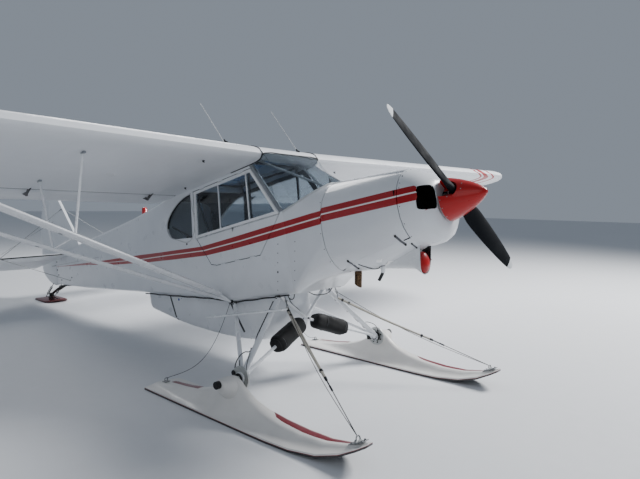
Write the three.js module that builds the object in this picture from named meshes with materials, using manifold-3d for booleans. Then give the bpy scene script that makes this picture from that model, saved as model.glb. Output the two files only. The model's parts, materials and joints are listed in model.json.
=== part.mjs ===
import * as THREE from "three";
import { mergeVertices } from "three/addons/utils/BufferGeometryUtils.js";
import initManifold from "manifold-3d";

const manifoldKit = await initManifold();
manifoldKit.setup();
const { Manifold, Mesh: ManifoldMesh } = manifoldKit;

// Driving sizes in millimetres.
// Airframe stations: x forward from the wing leading edge, y to port, z up from the leading edge.
const PARKED_PITCH_DEG = 12.5;
const LEADING_EDGE_HEIGHT = 1943;
const FRAME_SHIFT_X = 1746.5;
const SEAM_GAP = 0.4;
const MOVING_GAP = 6;
const PIN_GAP = 0.6;
const HINGE_PIN_RADIUS = 4;
const HINGE_ARM_THICKNESS = 8;

const WING_ROOT_Y = 345.6;
const WING_TIP_Y = 5366;
const WING_CHORD = 1600;
const WING_DIHEDRAL_DEG = 1;
const WING_INCIDENCE_DEG = 1.6;
const WING_TIP_ROWS = [4600, 4800, 4950, 5062, 5150, 5225, 5285, 5328, 5354, 5366];
const TIP_LEADING_START_Y = 4600;
const TIP_LEADING_CUT = 760;
const TIP_TRAILING_START_Y = 5062;
const TIP_TRAILING_CUT = 480;
const TIP_END_CHORD = 360;
const CONTROL_CUT_X = -1268;
const CONTROL_PIVOT_X = -1314;
const FLAP_HINGE_PLACES = [643, 1710, 2560];
const AILERON_HINGE_PLACES = [2900, 3856, 4800];
const FLAP_START_Y = 372;
const FLAP_END_Y = 2640;
const AILERON_START_Y = 2656;
const AILERON_END_Y = 5056;
const FLAP_PIVOT_DROP = 34;

const CABIN_HALF_WIDTH = 345;
const CABIN_FRONT_X = 130;
const DECK_START_X = -1104;
const WALL = 25;
const GLASS = 6;
const SHEET = 8;

const NOSE_SEAM_X = 1170;
const NOSE_FRONT_X = 1388;
const COWL_SEAM_X = 510;
const COWL_STRIP_HALF_WIDTH = 122;
const COWL_HINGE_Y = 125;
const FIREWALL_X = 502;
const COWL_FRONT_LOW_Z = -903;
const COWL_REAR_LOW_Z = -1058;
const COWL_SKIN_X = [1170, 1000, 860, 740, 510];
const BOOT_SKIN_X = [510, 400, 300, 220, 130];
const INLET_REAR_X = 1303;
const CHIN_HALF_WIDTH = 78;
const CHIN_WALL = 4;
const PIPE_RADIUS = 29;

const PROP_AXIS_Z = -684;
const PROP_DISC_X = 1478;
const PROP_RADIUS = 905;
const PROP_REST_TURN_DEG = -36.5;
const HUB_RADIUS = 62;
const SPINNER_BACK_X = 1403;
const SPINNER_LENGTH = 291;
const SPINNER_RADIUS = 154;
const SPINNER_NOTCH_HALF = 60;
const SPINNER_NOTCH_OFFSET = 15;

const STABILIZER_Z = -240;
const STABILIZER_HALF_SPAN = 1600;
const ELEVATOR_HINGE_X = -4872;
const ELEVATOR_DROOP_DEG = 11;
const ELEVATOR_HINGE_PLACES = [330, 900, 1450];
const RUDDER_HINGE_X = -4972;
const RUDDER_HINGE_HEIGHTS = [620, 240, -560];
const HINGE_NOSE_REACH = 8;
const HINGE_ARM_REACH = 44;

const AXLE_X = -23;
const AXLE_Z = -1726;
const GEAR_TOP_Y = 322;
const GEAR_TOP_Z = -1206;
const GEAR_PIN_Z = -1200;
const GEAR_PIN_RADIUS = 11;
const GEAR_FRONT_X = -83;
const GEAR_REAR_X = -640;
const GEAR_FOOT_RADIUS = 34;
const AXLE_INNER_Y = 838;
const AXLE_OUTER_Y = 1080;
const AXLE_RADIUS = 19;
const AXLE_NUT_RADIUS = 24;
const BRAKE_DISC_Y = [858, 870];
const BRAKE_DISC_RADIUS = 84;
const WHEEL_HUB_Y = [828, 880];
const WHEEL_HUB_RADIUS = 46;
const CABANE_VERTEX = [-104, 0, -1416];
const CABANE_BALL_RADIUS = 24;
const SHOCK_COVER_RADIUS = 72;
const SHOCK_ROD_RADIUS = 13;
const STEP_Z = -1282;
const STEP_INNER_Y = -430;
const STEP_OUTER_Y = -522;

const SKI_CENTER_Y = 938;
const SKI_PIVOT_HOLE_RADIUS = 19.9;
const TAIL_PIVOT_RADIUS = 20;
const TAIL_SKI_X = -4990;

// Finishes: one plain colour each.
function paint(color, roughness, metalness = 0) {
  return new THREE.MeshStandardMaterial({ color, roughness, metalness });
}

const whitePaint = paint(0xe9ebee, 0.35);
const stripeRed = paint(0xb5121b, 0.25);
const propellerBlack = paint(0x25282c, 0.5);
const clearPlastic = paint(0x9fb2bf, 0.1);
const darkTrim = paint(0x1c1d1f, 0.7);
const seatCloth = paint(0x2b2d31, 0.9);
const steel = paint(0x8b8f94, 0.4, 0.8);
const engineGrey = paint(0x6f7377, 0.6, 0.5);
const exhaustBrown = paint(0x6b4a32, 0.6, 0.6);
const coverBlack = paint(0x18191b, 0.85);
const skiWhite = paint(0xe4e2de, 0.4);
const tailSkiRed = paint(0x4a1418, 0.5);
const springSteel = paint(0x2f3033, 0.5, 0.7);

const airplane = new THREE.Group();
airplane.name = "ski_plane";

const pitch = THREE.MathUtils.degToRad(PARKED_PITCH_DEG);
const parkedMatrix = new THREE.Matrix4()
  .makeTranslation(FRAME_SHIFT_X, 0, LEADING_EDGE_HEIGHT)
  .multiply(new THREE.Matrix4().makeRotationY(-pitch));
const groundMatrix = new THREE.Matrix4().makeTranslation(FRAME_SHIFT_X, 0, 0);

function degrees(value) {
  return THREE.MathUtils.degToRad(value);
}

function mix(a, b, t) {
  return a + (b - a) * t;
}

// Reads a value from a rising or falling list of [position, value] pairs.
function along(table, position) {
  const rising = table[table.length - 1][0] > table[0][0];
  const rows = rising ? table : [...table].reverse();
  if (position <= rows[0][0]) return rows[0][1];
  for (let i = 1; i < rows.length; i += 1) {
    if (position <= rows[i][0]) {
      const t = (position - rows[i - 1][0]) / (rows[i][0] - rows[i - 1][0]);
      return mix(rows[i - 1][1], rows[i][1], t);
    }
  }
  return rows[rows.length - 1][1];
}

function signedVolume(positions, indices) {
  let total = 0;
  for (let i = 0; i < indices.length; i += 3) {
    const a = new THREE.Vector3().fromArray(positions, indices[i] * 3);
    const b = new THREE.Vector3().fromArray(positions, indices[i + 1] * 3);
    const c = new THREE.Vector3().fromArray(positions, indices[i + 2] * 3);
    total += a.dot(b.cross(c));
  }
  return total / 6;
}

// Makes a manifold solid from points and triangles, turned to face outwards.
function solidFrom(positions, indices) {
  const faces = [...indices];
  if (signedVolume(positions, faces) < 0) {
    for (let i = 0; i < faces.length; i += 3) {
      [faces[i + 1], faces[i + 2]] = [faces[i + 2], faces[i + 1]];
    }
  }
  const mesh = new ManifoldMesh({
    numProp: 3,
    vertProperties: new Float32Array(positions),
    triVerts: new Uint32Array(faces),
  });
  mesh.merge();
  return new Manifold(mesh);
}

function solidFromGeometry(geometry) {
  const bare = geometry.clone();
  bare.deleteAttribute("normal");
  bare.deleteAttribute("uv");
  const welded = mergeVertices(bare, 1e-3);
  return solidFrom([...welded.attributes.position.array], [...welded.index.array]);
}

function geometryFromSolid(solid) {
  const mesh = solid.getMesh();
  const geometry = new THREE.BufferGeometry();
  geometry.setAttribute("position", new THREE.BufferAttribute(new Float32Array(mesh.vertProperties), 3));
  geometry.setIndex(new THREE.BufferAttribute(new Uint32Array(mesh.triVerts), 1));
  geometry.computeVertexNormals();
  return geometry;
}

function addPart(name, solid, material, matrix = parkedMatrix) {
  const geometry = geometryFromSolid(solid);
  geometry.applyMatrix4(matrix);
  const mesh = new THREE.Mesh(geometry, material);
  mesh.name = name;
  airplane.add(mesh);
}

// Joins equal closed rings of points into one solid with flat ends.
function loft(rings) {
  const count = rings[0].length;
  const positions = [];
  const indices = [];
  for (const ring of rings) {
    for (const point of ring) positions.push(...point);
  }
  for (let r = 0; r < rings.length - 1; r += 1) {
    for (let i = 0; i < count; i += 1) {
      const a = r * count + i;
      const b = r * count + ((i + 1) % count);
      indices.push(a, b, b + count, a, b + count, a + count);
    }
  }
  for (const [ring, start] of [[rings[0], 0], [rings[rings.length - 1], (rings.length - 1) * count]]) {
    const center = [0, 0, 0];
    for (const point of ring) {
      for (let axis = 0; axis < 3; axis += 1) center[axis] += point[axis] / count;
    }
    const hub = positions.length / 3;
    positions.push(...center);
    for (let i = 0; i < count; i += 1) {
      const next = start + ((i + 1) % count);
      if (start === 0) indices.push(hub, next, start + i);
      else indices.push(hub, start + i, next);
    }
  }
  return solidFrom(positions, indices);
}

function box(x0, x1, y0, y1, z0, z1) {
  const geometry = new THREE.BoxGeometry(Math.abs(x1 - x0), Math.abs(y1 - y0), Math.abs(z1 - z0));
  geometry.translate((x0 + x1) / 2, (y0 + y1) / 2, (z0 + z1) / 2);
  return solidFromGeometry(geometry);
}

// Side outline given as [x, z] points, from y0 to y1.
function sidePlate(outline, y0, y1) {
  const shape = new THREE.Shape(outline.map(([x, z]) => new THREE.Vector2(x, z)));
  const geometry = new THREE.ExtrudeGeometry(shape, { depth: y1 - y0, bevelEnabled: false });
  geometry.applyMatrix4(new THREE.Matrix4().makeRotationX(Math.PI / 2));
  geometry.translate(0, y1, 0);
  return solidFromGeometry(geometry);
}

// Plan outline given as [x, y] points, from z0 to z1.
function planPlate(outline, z0, z1) {
  const shape = new THREE.Shape(outline.map(([x, y]) => new THREE.Vector2(x, y)));
  const geometry = new THREE.ExtrudeGeometry(shape, { depth: z1 - z0, bevelEnabled: false });
  geometry.translate(0, 0, z0);
  return solidFromGeometry(geometry);
}

function rod(start, end, radius, sides = 10) {
  const a = new THREE.Vector3(...start);
  const b = new THREE.Vector3(...end);
  const direction = b.clone().sub(a);
  const geometry = new THREE.CylinderGeometry(radius, radius, direction.length(), sides);
  const turn = new THREE.Quaternion().setFromUnitVectors(new THREE.Vector3(0, 1, 0), direction.normalize());
  geometry.applyQuaternion(turn);
  const middle = a.add(b).multiplyScalar(0.5);
  geometry.translate(middle.x, middle.y, middle.z);
  return solidFromGeometry(geometry);
}

function ball(center, radius, sides = 8) {
  const geometry = new THREE.SphereGeometry(radius, sides, sides);
  geometry.translate(...center);
  return solidFromGeometry(geometry);
}

// Oval tube whose long axis lies along x, as wide as the air flow.
function ovalTube(start, end, chord, thickness, sides = 12) {
  const a = new THREE.Vector3(...start);
  const b = new THREE.Vector3(...end);
  const direction = b.clone().sub(a).normalize();
  const wide = new THREE.Vector3(1, 0, 0);
  wide.addScaledVector(direction, -wide.dot(direction)).normalize();
  const thin = new THREE.Vector3().crossVectors(direction, wide);
  const rings = [a, b].map((end3) => {
    const ring = [];
    for (let i = 0; i < sides; i += 1) {
      const angle = (2 * Math.PI * i) / sides;
      const point = end3
        .clone()
        .addScaledVector(wide, (chord / 2) * Math.cos(angle))
        .addScaledVector(thin, (thickness / 2) * Math.sin(angle));
      ring.push(point.toArray());
    }
    return ring;
  });
  return loft(rings);
}

function between(start, end, t) {
  return start.map((value, axis) => mix(value, end[axis], t));
}

function mirrored(point, side) {
  return [point[0], point[1] * side, point[2]];
}

function placed(solid, matrix) {
  return solidFromGeometry(geometryFromSolid(solid).applyMatrix4(matrix));
}

function shifted(solid, x, y, z) {
  return placed(solid, new THREE.Matrix4().makeTranslation(x, y, z));
}

// Point in the ground frame under the airplane, given in airframe stations.
function stationOfGround(point) {
  const ground = new THREE.Vector3(...point).applyMatrix4(groundMatrix);
  return ground.applyMatrix4(parkedMatrix.clone().invert()).toArray();
}

// Hinge arm, the slot it needs in the moving part, and the moving part's pin.
// The arm reaches from the pin towards the fixed part.
function hingeSet(pivot, pinDirection, fixedDirection, reach, eyeRadius) {
  const forward = new THREE.Vector3(...fixedDirection);
  const along3 = new THREE.Vector3(...pinDirection).normalize();
  const third = new THREE.Vector3().crossVectors(forward, along3);
  const matrix = new THREE.Matrix4().makeBasis(forward, along3, third).setPosition(...pivot);
  const half = HINGE_ARM_THICKNESS / 2;
  const slotHalf = half + MOVING_GAP;
  const arm = box(0, reach, -half, half, -eyeRadius, eyeRadius)
    .add(rod([0, -half, 0], [0, half, 0], eyeRadius, 16))
    .subtract(rod([0, -half - 5, 0], [0, half + 5, 0], HINGE_PIN_RADIUS + PIN_GAP, 16));
  const slot = box(-eyeRadius - MOVING_GAP, 90, -slotHalf, slotHalf, -90, 90);
  const pin = rod([0, -slotHalf - 2, 0], [0, slotHalf + 2, 0], HINGE_PIN_RADIUS, 16);
  return { arm: placed(arm, matrix), slot: placed(slot, matrix), pin: placed(pin, matrix) };
}

// Fuselage cross-section columns: x, half width, bottom z, bottom corner y and z radii,
// shoulder z where the side starts to curve, top z, top roundness.
const FUSELAGE_STATIONS = [
  [1388, 164, -850, 160, 150, -690, -560, 2],
  [1376, 212, -905, 205, 200, -690, -536, 2],
  [1346, 254, -951, 245, 245, -690, -512, 2],
  [1300, 279, -974, 270, 270, -688, -478, 2.05],
  [1240, 287, -981, 278, 284, -685, -441, 2.1],
  [1170, 289, -976, 280, 288, -682, -406, 2.13],
  [1000, 303, -1035, 274, 285, -686, -389, 2.12],
  [860, 316, -1076, 272, 282, -690, -377, 2.1],
  [740, 326, -1089, 276, 290, -695, -366, 2.05],
  [510, 343, -1085, 280, 298, -700, -345, 2],
  [400, 344, -1092, 200, 210, -640, -335, 2.2],
  [300, 344.5, -1110, 130, 130, -590, -325, 2.35],
  [220, 345, -1142, 90, 85, -560, -317, 2.45],
  [130, 345, -1188, 60, 60, -520, -306, 2.6],
];

function stationAt(x) {
  const rows = FUSELAGE_STATIONS;
  return rows[0].map((_, column) => along(rows.map((row) => [row[0], row[column]]), x));
}

const BOTTOM_ARC_STEPS = 6;
const TOP_ARC_STEPS = 8;

// Half-section points from the bottom corner up over the shoulder to the top middle.
function halfSection(station, inset) {
  const [, halfWidth, bottom, cornerY, cornerZ, shoulder, top, roundness] = station;
  const w = halfWidth - inset;
  const zb = bottom + inset;
  const zt = top - inset;
  const ry = Math.max(cornerY - inset, 2);
  const rz = Math.max(cornerZ - inset, 2);
  const points = [];
  for (let i = 0; i <= BOTTOM_ARC_STEPS; i += 1) {
    const angle = (Math.PI / 2) * (i / BOTTOM_ARC_STEPS);
    points.push([w - ry + ry * Math.sin(angle), zb + rz - rz * Math.cos(angle)]);
  }
  for (let i = 0; i <= TOP_ARC_STEPS; i += 1) {
    const angle = (Math.PI / 2) * (i / TOP_ARC_STEPS);
    const y = w * Math.cos(angle) ** (2 / roundness);
    const z = shoulder + (zt - shoulder) * Math.sin(angle) ** (2 / roundness);
    points.push([i === TOP_ARC_STEPS ? 0 : y, z]);
  }
  return points;
}

function sectionRing(x, station, inset = 0) {
  const half = halfSection(station, inset);
  const port = half.map(([y, z]) => [x, y, z]);
  const starboard = half.slice(0, -1).reverse().map(([y, z]) => [x, -y, z]);
  return [...port, ...starboard];
}

function bodyLoft(positionsX, inset = 0) {
  return loft(positionsX.map((x) => sectionRing(x, stationAt(x), inset)));
}

function archHalfWidth(x, z) {
  const [, halfWidth, , , , shoulder, top, roundness] = stationAt(x);
  const rise = Math.min(Math.max((z - shoulder) / (top - shoulder), 0), 1);
  return halfWidth * (1 - rise ** roundness) ** (1 / roundness);
}

// Side-view line where the windshield meets the boot cowl.
const WINDSHIELD_BASE = [
  [131, -512],
  [220, -491],
  [330, -452],
  [420, -402],
  [480, -364],
  [500, -350],
];

function aboveWindshieldBase(lift) {
  const line = WINDSHIELD_BASE.map(([x, z]) => [x, z + lift]);
  const last = line[line.length - 1];
  return [[CABIN_FRONT_X - 2, -512 + lift], ...line, [last[0] + 1, -200], [CABIN_FRONT_X - 2, -200]];
}

// Front face of the slanted door post in side view.
const POST_FOOT = [129, -512];
const POST_TOP = [-152, -50];

function postX(z) {
  return mix(POST_FOOT[0], POST_TOP[0], (z - POST_FOOT[1]) / (POST_TOP[1] - POST_FOOT[1]));
}

const ROOF_UNDERSIDE_Z = 20;

function airfoilUpper(t) {
  return along(
    [
      [0, 3.2], [0.0125, 5.6], [0.025, 6.75], [0.05, 8.2], [0.1, 10.0], [0.2, 11.5], [0.3, 11.75],
      [0.4, 11.4], [0.5, 10.5], [0.6, 9.15], [0.7, 7.4], [0.8, 5.3], [0.9, 2.95], [1, 0.25],
    ],
    t,
  ) / 100;
}

function airfoilLower(t) {
  return along([[0, 3.2], [0.0125, 1.3], [0.025, 0.7], [0.05, 0.25], [0.1, 0], [1, 0]], t) / 100;
}

const AIRFOIL_STEPS = [0, 0.0125, 0.025, 0.05, 0.1, 0.2, 0.3, 0.45, 0.6, 0.79, 1];

function wingSkinZ(t, upper) {
  const height = (upper ? airfoilUpper(t) : airfoilLower(t)) * WING_CHORD;
  return height - 50 - Math.sin(degrees(WING_INCIDENCE_DEG)) * WING_CHORD * t;
}

function wingRing(y, leadX = 0, chord = WING_CHORD, thickness = 1) {
  const lift = Math.max(Math.abs(y) - WING_ROOT_Y, 0) * Math.tan(degrees(WING_DIHEDRAL_DEG));
  const middle = -50 + 0.055 * WING_CHORD;
  const ring = [];
  const place = (t, upper) => {
    const skin = wingSkinZ(t, upper);
    return [leadX - t * chord, y, middle + (skin - middle) * thickness + lift];
  };
  for (const t of AIRFOIL_STEPS) ring.push(place(t, true));
  for (const t of [...AIRFOIL_STEPS].reverse().slice(0, -1)) ring.push(place(t, false));
  return ring;
}

// Share of a quarter round's full depth that is cut away at y, from startY to the tip.
function tipCut(y, startY) {
  const t = Math.max(y - startY, 0) / (WING_TIP_Y - startY);
  return 1 - Math.sqrt(Math.max(1 - t * t, 0));
}

function tipRing(side, y) {
  const lead = TIP_LEADING_CUT * tipCut(y, TIP_LEADING_START_Y);
  const chord = WING_CHORD - lead - TIP_TRAILING_CUT * tipCut(y, TIP_TRAILING_START_Y);
  const fullness = (chord - TIP_END_CHORD) / (WING_CHORD - TIP_END_CHORD);
  return wingRing(side * y, -lead, chord, mix(0.1, 1, fullness));
}

function wingUnderside(x) {
  return wingSkinZ(-x / WING_CHORD, false);
}

function dihedralLift(y) {
  return Math.max(Math.abs(y) - WING_ROOT_Y, 0) * Math.tan(degrees(WING_DIHEDRAL_DEG));
}

// Point on the cowl's outer arch where a cowl door hinges.
function cowlHingePoint(x, side) {
  const [, halfWidth, , , , shoulder, top, roundness] = stationAt(x);
  const rise = (1 - (COWL_HINGE_Y / halfWidth) ** roundness) ** (1 / roundness);
  return [x, side * COWL_HINGE_Y, mix(shoulder, top, rise)];
}

// Nose: bowl with two cooling inlets, cowl panels, engine, scoop and exhaust.
function buildNose() {
  const outer = bodyLoft([NOSE_FRONT_X, 1376, 1346, 1300, 1240, NOSE_SEAM_X + SEAM_GAP]);
  const inner = bodyLoft([NOSE_FRONT_X - SHEET, 1370, 1342, 1298, 1238, NOSE_SEAM_X - 4], SHEET);
  let bowl = outer.subtract(inner);
  for (const side of [-1, 1]) {
    bowl = bowl.subtract(inletCutter(side));
  }
  const shaftEnds = [NOSE_FRONT_X + 5, NOSE_FRONT_X - 40].map((x) => [x, 0, PROP_AXIS_Z]);
  bowl = bowl.subtract(rod(...shaftEnds, HUB_RADIUS, 20));
  addPart("nose_bowl", bowl, whitePaint);

  const voidX = [NOSE_SEAM_X + 5, ...COWL_SKIN_X.slice(1, -1), COWL_SEAM_X - 5];
  const skin = bodyLoft(COWL_SKIN_X).subtract(bodyLoft(voidX, SHEET));
  const frontX = NOSE_SEAM_X - MOVING_GAP;
  const rearX = COWL_SEAM_X + MOVING_GAP;
  const stripWidth = COWL_STRIP_HALF_WIDTH;
  let strip = skin.intersect(box(COWL_SEAM_X, NOSE_SEAM_X, -stripWidth, stripWidth, -600, -200));
  for (const [name, side] of [["cowl_door_left", 1], ["cowl_door_right", -1]]) {
    const hinge = [frontX - 4, rearX + 4].map((x) => cowlHingePoint(x, side));
    strip = strip.add(rod(...hinge, HINGE_PIN_RADIUS, 12));
    const near = side * COWL_HINGE_Y;
    const far = side * 420;
    const outline = [
      [frontX, -250],
      [rearX, -250],
      [rearX, COWL_REAR_LOW_Z],
      [frontX, COWL_FRONT_LOW_Z],
    ];
    const region = sidePlate(outline, Math.min(near, far), Math.max(near, far));
    const room = [-0.04, 1.04].map((t) => between(...hinge, t));
    const pinRoom = rod(...room, HINGE_PIN_RADIUS + PIN_GAP, 12);
    addPart(name, skin.intersect(region).subtract(pinRoom), whitePaint);
  }
  addPart("cowl_top", strip, whitePaint);
  const lowOutline = [
    [NOSE_SEAM_X, COWL_FRONT_LOW_Z - MOVING_GAP],
    [COWL_SEAM_X, COWL_REAR_LOW_Z - MOVING_GAP],
    [COWL_SEAM_X, -1200],
    [NOSE_SEAM_X, -1200],
  ];
  addPart("cowl_bottom", skin.intersect(sidePlate(lowOutline, -420, 420)), whitePaint);

  const crankcase = box(700, 1310, -105, 105, -850, -590);
  const cylinders = box(760, 1110, -250, 250, -780, -610);
  const mount = box(FIREWALL_X + SEAM_GAP, 700, -60, 60, -760, -640);
  const shaft = rod([1310, 0, PROP_AXIS_Z], [SPINNER_BACK_X - SEAM_GAP, 0, PROP_AXIS_Z], 50, 20);
  addPart("engine_block", crankcase.add(cylinders).add(mount).add(shaft), engineGrey);
  buildChin();

  const pipe = rod([617, -85, -1000], [567, -85, -1240], PIPE_RADIUS, 16);
  const pipeBore = rod([594, -85, -1110], [563, -85, -1260], PIPE_RADIUS - CHIN_WALL, 16);
  const slash = sidePlate([[480, -1097], [640, -1243], [640, -1300], [480, -1300]], -150, 0);
  const cowlSolid = bodyLoft([...COWL_SKIN_X, 400], -SEAM_GAP);
  addPart("exhaust_stack", pipe.subtract(pipeBore).subtract(slash).subtract(cowlSolid), exhaustBrown);
}

// U-shaped ring of the chin fairing; the mouth leans back towards its lower lip.
function chinRing(x, halfWidth, low, round, lean = 0) {
  const half = [[halfWidth, -930]];
  for (let i = 0; i <= 6; i += 1) {
    const angle = (Math.PI / 2) * (i / 6);
    half.push([halfWidth * Math.cos(angle) ** 0.8, low + round - round * Math.sin(angle)]);
  }
  half[7][0] = 0;
  const leaned = (z) => x - lean * (-995 - z);
  const port = half.map(([y, z]) => [leaned(z), y, z]);
  const starboard = half.slice(0, -1).reverse().map(([y, z]) => [leaned(z), -y, z]);
  return [...port, ...starboard];
}

// Intake mouth under the nose bowl and the fairing behind it.
function buildChin() {
  const w = CHIN_HALF_WIDTH;
  const fairing = loft([
    chinRing(1165, w, -1178, 85, 0.19),
    chinRing(1086, w, -1134, 60),
    chinRing(1000, w + 4, -1118, 50),
    chinRing(860, w + 8, -1099, 40),
    chinRing(780, w + 8, -1094, 40),
    chinRing(730, w + 8, -1070, 40),
  ]);
  const mouth = loft([
    chinRing(1171, w - CHIN_WALL, -1178 + CHIN_WALL, 81, 0.19),
    chinRing(1150, w - CHIN_WALL, -1166, 78, 0.19),
    chinRing(1096, w - 12, -1126, 56),
  ]);
  const cowl = bodyLoft([1240, NOSE_SEAM_X + SEAM_GAP, ...COWL_SKIN_X.slice(1)], -SEAM_GAP);
  addPart("intake_scoop", fairing.subtract(mouth).subtract(cowl), whitePaint);
}

function inletCutter(side) {
  const outline = new THREE.Shape();
  const [y0, y1, z0, z1, r] = [134, 280, -744, -573, 46];
  const topY = y1 - 24;
  outline.moveTo(y0 + r, z0);
  outline.lineTo(y1 - r, z0);
  outline.quadraticCurveTo(y1, z0, y1, z0 + r);
  outline.lineTo(topY, z1 - r);
  outline.quadraticCurveTo(topY, z1, topY - r, z1);
  outline.lineTo(y0 + r, z1);
  outline.quadraticCurveTo(y0, z1, y0, z1 - r);
  outline.lineTo(y0, z0 + r);
  outline.quadraticCurveTo(y0, z0, y0 + r, z0);
  const settings = { depth: 120, bevelEnabled: false, curveSegments: 4 };
  const geometry = new THREE.ExtrudeGeometry(outline, settings);
  const place = new THREE.Matrix4().set(0, 0, 1, INLET_REAR_X, side, 0, 0, 0, 0, 1, 0, 0, 0, 0, 0, 1);
  geometry.applyMatrix4(place);
  return solidFromGeometry(geometry);
}

// Boot cowl around the pilot's feet, with the firewall in its front.
function buildBootCowl() {
  const middleX = BOOT_SKIN_X.slice(1, -1);
  const outer = bodyLoft([COWL_SEAM_X - SEAM_GAP, ...middleX, CABIN_FRONT_X + SEAM_GAP]);
  const inner = bodyLoft([COWL_SEAM_X + 5, ...middleX, CABIN_FRONT_X - 5], SHEET);
  const shell = outer.subtract(inner).subtract(sidePlate(aboveWindshieldBase(0), -400, 400));
  addPart("boot_cowl", shell, whitePaint);

  const wallSolid = bodyLoft([FIREWALL_X, FIREWALL_X - 4], SHEET + SEAM_GAP);
  addPart("firewall", wallSolid, steel);
}

// Windshield: one bent sheet between the base line, the door posts and the wing edge.
function buildWindshield() {
  const edgeZ = (x) => wingUnderside(x) - 4;
  const starboardTop = [
    [postX(edgeZ(-148)) + 1, -344, edgeZ(-148)],
    [-100, -344, edgeZ(-100)],
    [-40, -344, -46],
    [8, -344, -8],
  ];
  const crossTop = [
    [9, -300, 2], [10, -200, 4], [10, -100, 5], [10, 0, 5],
  ];
  const topHalf = [...starboardTop, ...crossTop];
  const baseX = [POST_FOOT[0] + 2, 175, 220, 290, 360, 430, 478, 500];
  const baseHalf = baseX.map((x, i) => {
    const z = along(WINDSHIELD_BASE, x) + 2;
    const y = i === baseX.length - 1 ? 0 : -Math.min(archHalfWidth(x, z), 344);
    return [x, y, z];
  });
  const rowsAcross = [];
  const steps = 4;
  for (let i = 0; i < topHalf.length; i += 1) {
    const column = [];
    for (let j = 0; j <= steps; j += 1) column.push(between(baseHalf[i], topHalf[i], j / steps));
    rowsAcross.push(column);
  }
  const portColumns = rowsAcross.slice(0, -1).reverse().map((column) => column.map((p) => mirrored(p, -1)));
  const columns = [...rowsAcross, ...portColumns];
  const cowlBelow = bodyLoft(BOOT_SKIN_X, -SEAM_GAP)
    .subtract(sidePlate(aboveWindshieldBase(SEAM_GAP), -400, 400));
  addPart("windshield", thickSheet(columns, GLASS).subtract(cowlBelow), clearPlastic);

  const spar = [-232, 303, 40];
  const foot = [300, 0, -330];
  const hoodTop = [300, 0, along(WINDSHIELD_BASE, 300) - 10.4];
  const arms = rod(mirrored(spar, 1), foot, 11, 8).add(rod(mirrored(spar, -1), foot, 11, 8));
  const brace = arms.add(ball(foot, 14, 6)).add(rod(foot, hoodTop, 11, 8));
  const aboveCeiling = box(-400, 0, -400, 400, ROOF_UNDERSIDE_Z - SEAM_GAP, 200);
  addPart("windshield_brace", brace.subtract(aboveCeiling), steel);
}

// Thickens a grid of points inwards and closes its edges.
function thickSheet(columns, thickness) {
  const across = columns.length;
  const down = columns[0].length;
  const clamp = (value, count) => Math.min(Math.max(value, 0), count - 1);
  const at = (i, j) => new THREE.Vector3(...columns[clamp(i, across)][clamp(j, down)]);
  const outer = [];
  const inner = [];
  for (let i = 0; i < across; i += 1) {
    for (let j = 0; j < down; j += 1) {
      const alongU = at(i + 1, j).sub(at(i - 1, j));
      const alongV = at(i, j + 1).sub(at(i, j - 1));
      const normal = new THREE.Vector3().crossVectors(alongU, alongV).normalize();
      outer.push(...at(i, j).toArray());
      inner.push(...at(i, j).addScaledVector(normal, -thickness).toArray());
    }
  }
  const positions = [...outer, ...inner];
  const offset = across * down;
  const indices = [];
  const id = (i, j) => i * down + j;
  for (let i = 0; i < across - 1; i += 1) {
    for (let j = 0; j < down - 1; j += 1) {
      const [a, b, c, d] = [id(i, j), id(i + 1, j), id(i + 1, j + 1), id(i, j + 1)];
      indices.push(a, b, c, a, c, d);
      indices.push(a + offset, c + offset, b + offset, a + offset, d + offset, c + offset);
    }
  }
  const rim = [];
  for (let i = 0; i < across; i += 1) rim.push(id(i, 0));
  for (let j = 1; j < down; j += 1) rim.push(id(across - 1, j));
  for (let i = across - 2; i >= 0; i -= 1) rim.push(id(i, down - 1));
  for (let j = down - 2; j >= 1; j -= 1) rim.push(id(0, j));
  for (let k = 0; k < rim.length; k += 1) {
    const a = rim[k];
    const b = rim[(k + 1) % rim.length];
    indices.push(b, a, a + offset, b, a + offset, b + offset);
  }
  return solidFrom(positions, indices);
}

// Outlines of the side openings in side view.
const UPPER_DOOR_OUTLINE = [
  [84, -522],
  [-176, -88],
  [-1000, -108],
  [-1054, -545],
];
const LOWER_DOOR_OUTLINE = [
  [84, -532],
  [-196, -822],
  [-790, -832],
  [-868, -814],
  [-1036, -555],
];
const REAR_WINDOW_OUTLINE = [
  [-1046, -110],
  [-1190, -134],
  [-1322, -186],
  [-1425, -250],
  [-1488, -322],
  [-1502, -380],
  [-1490, -430],
  [-1455, -472],
  [-1400, -495],
  [-1103, -530],
];

// Hinge lines of the two cabin doors, as the first and last point in side view.
const UPPER_DOOR_HINGE = [[-176, -88], [-1000, -108]];
const LOWER_DOOR_HINGE = [[-196, -822], [-790, -832]];
const DOOR_HINGE_PLACES = [0.12, 0.46, 0.8];
const DOOR_HINGE_LENGTH = 60;

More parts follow.
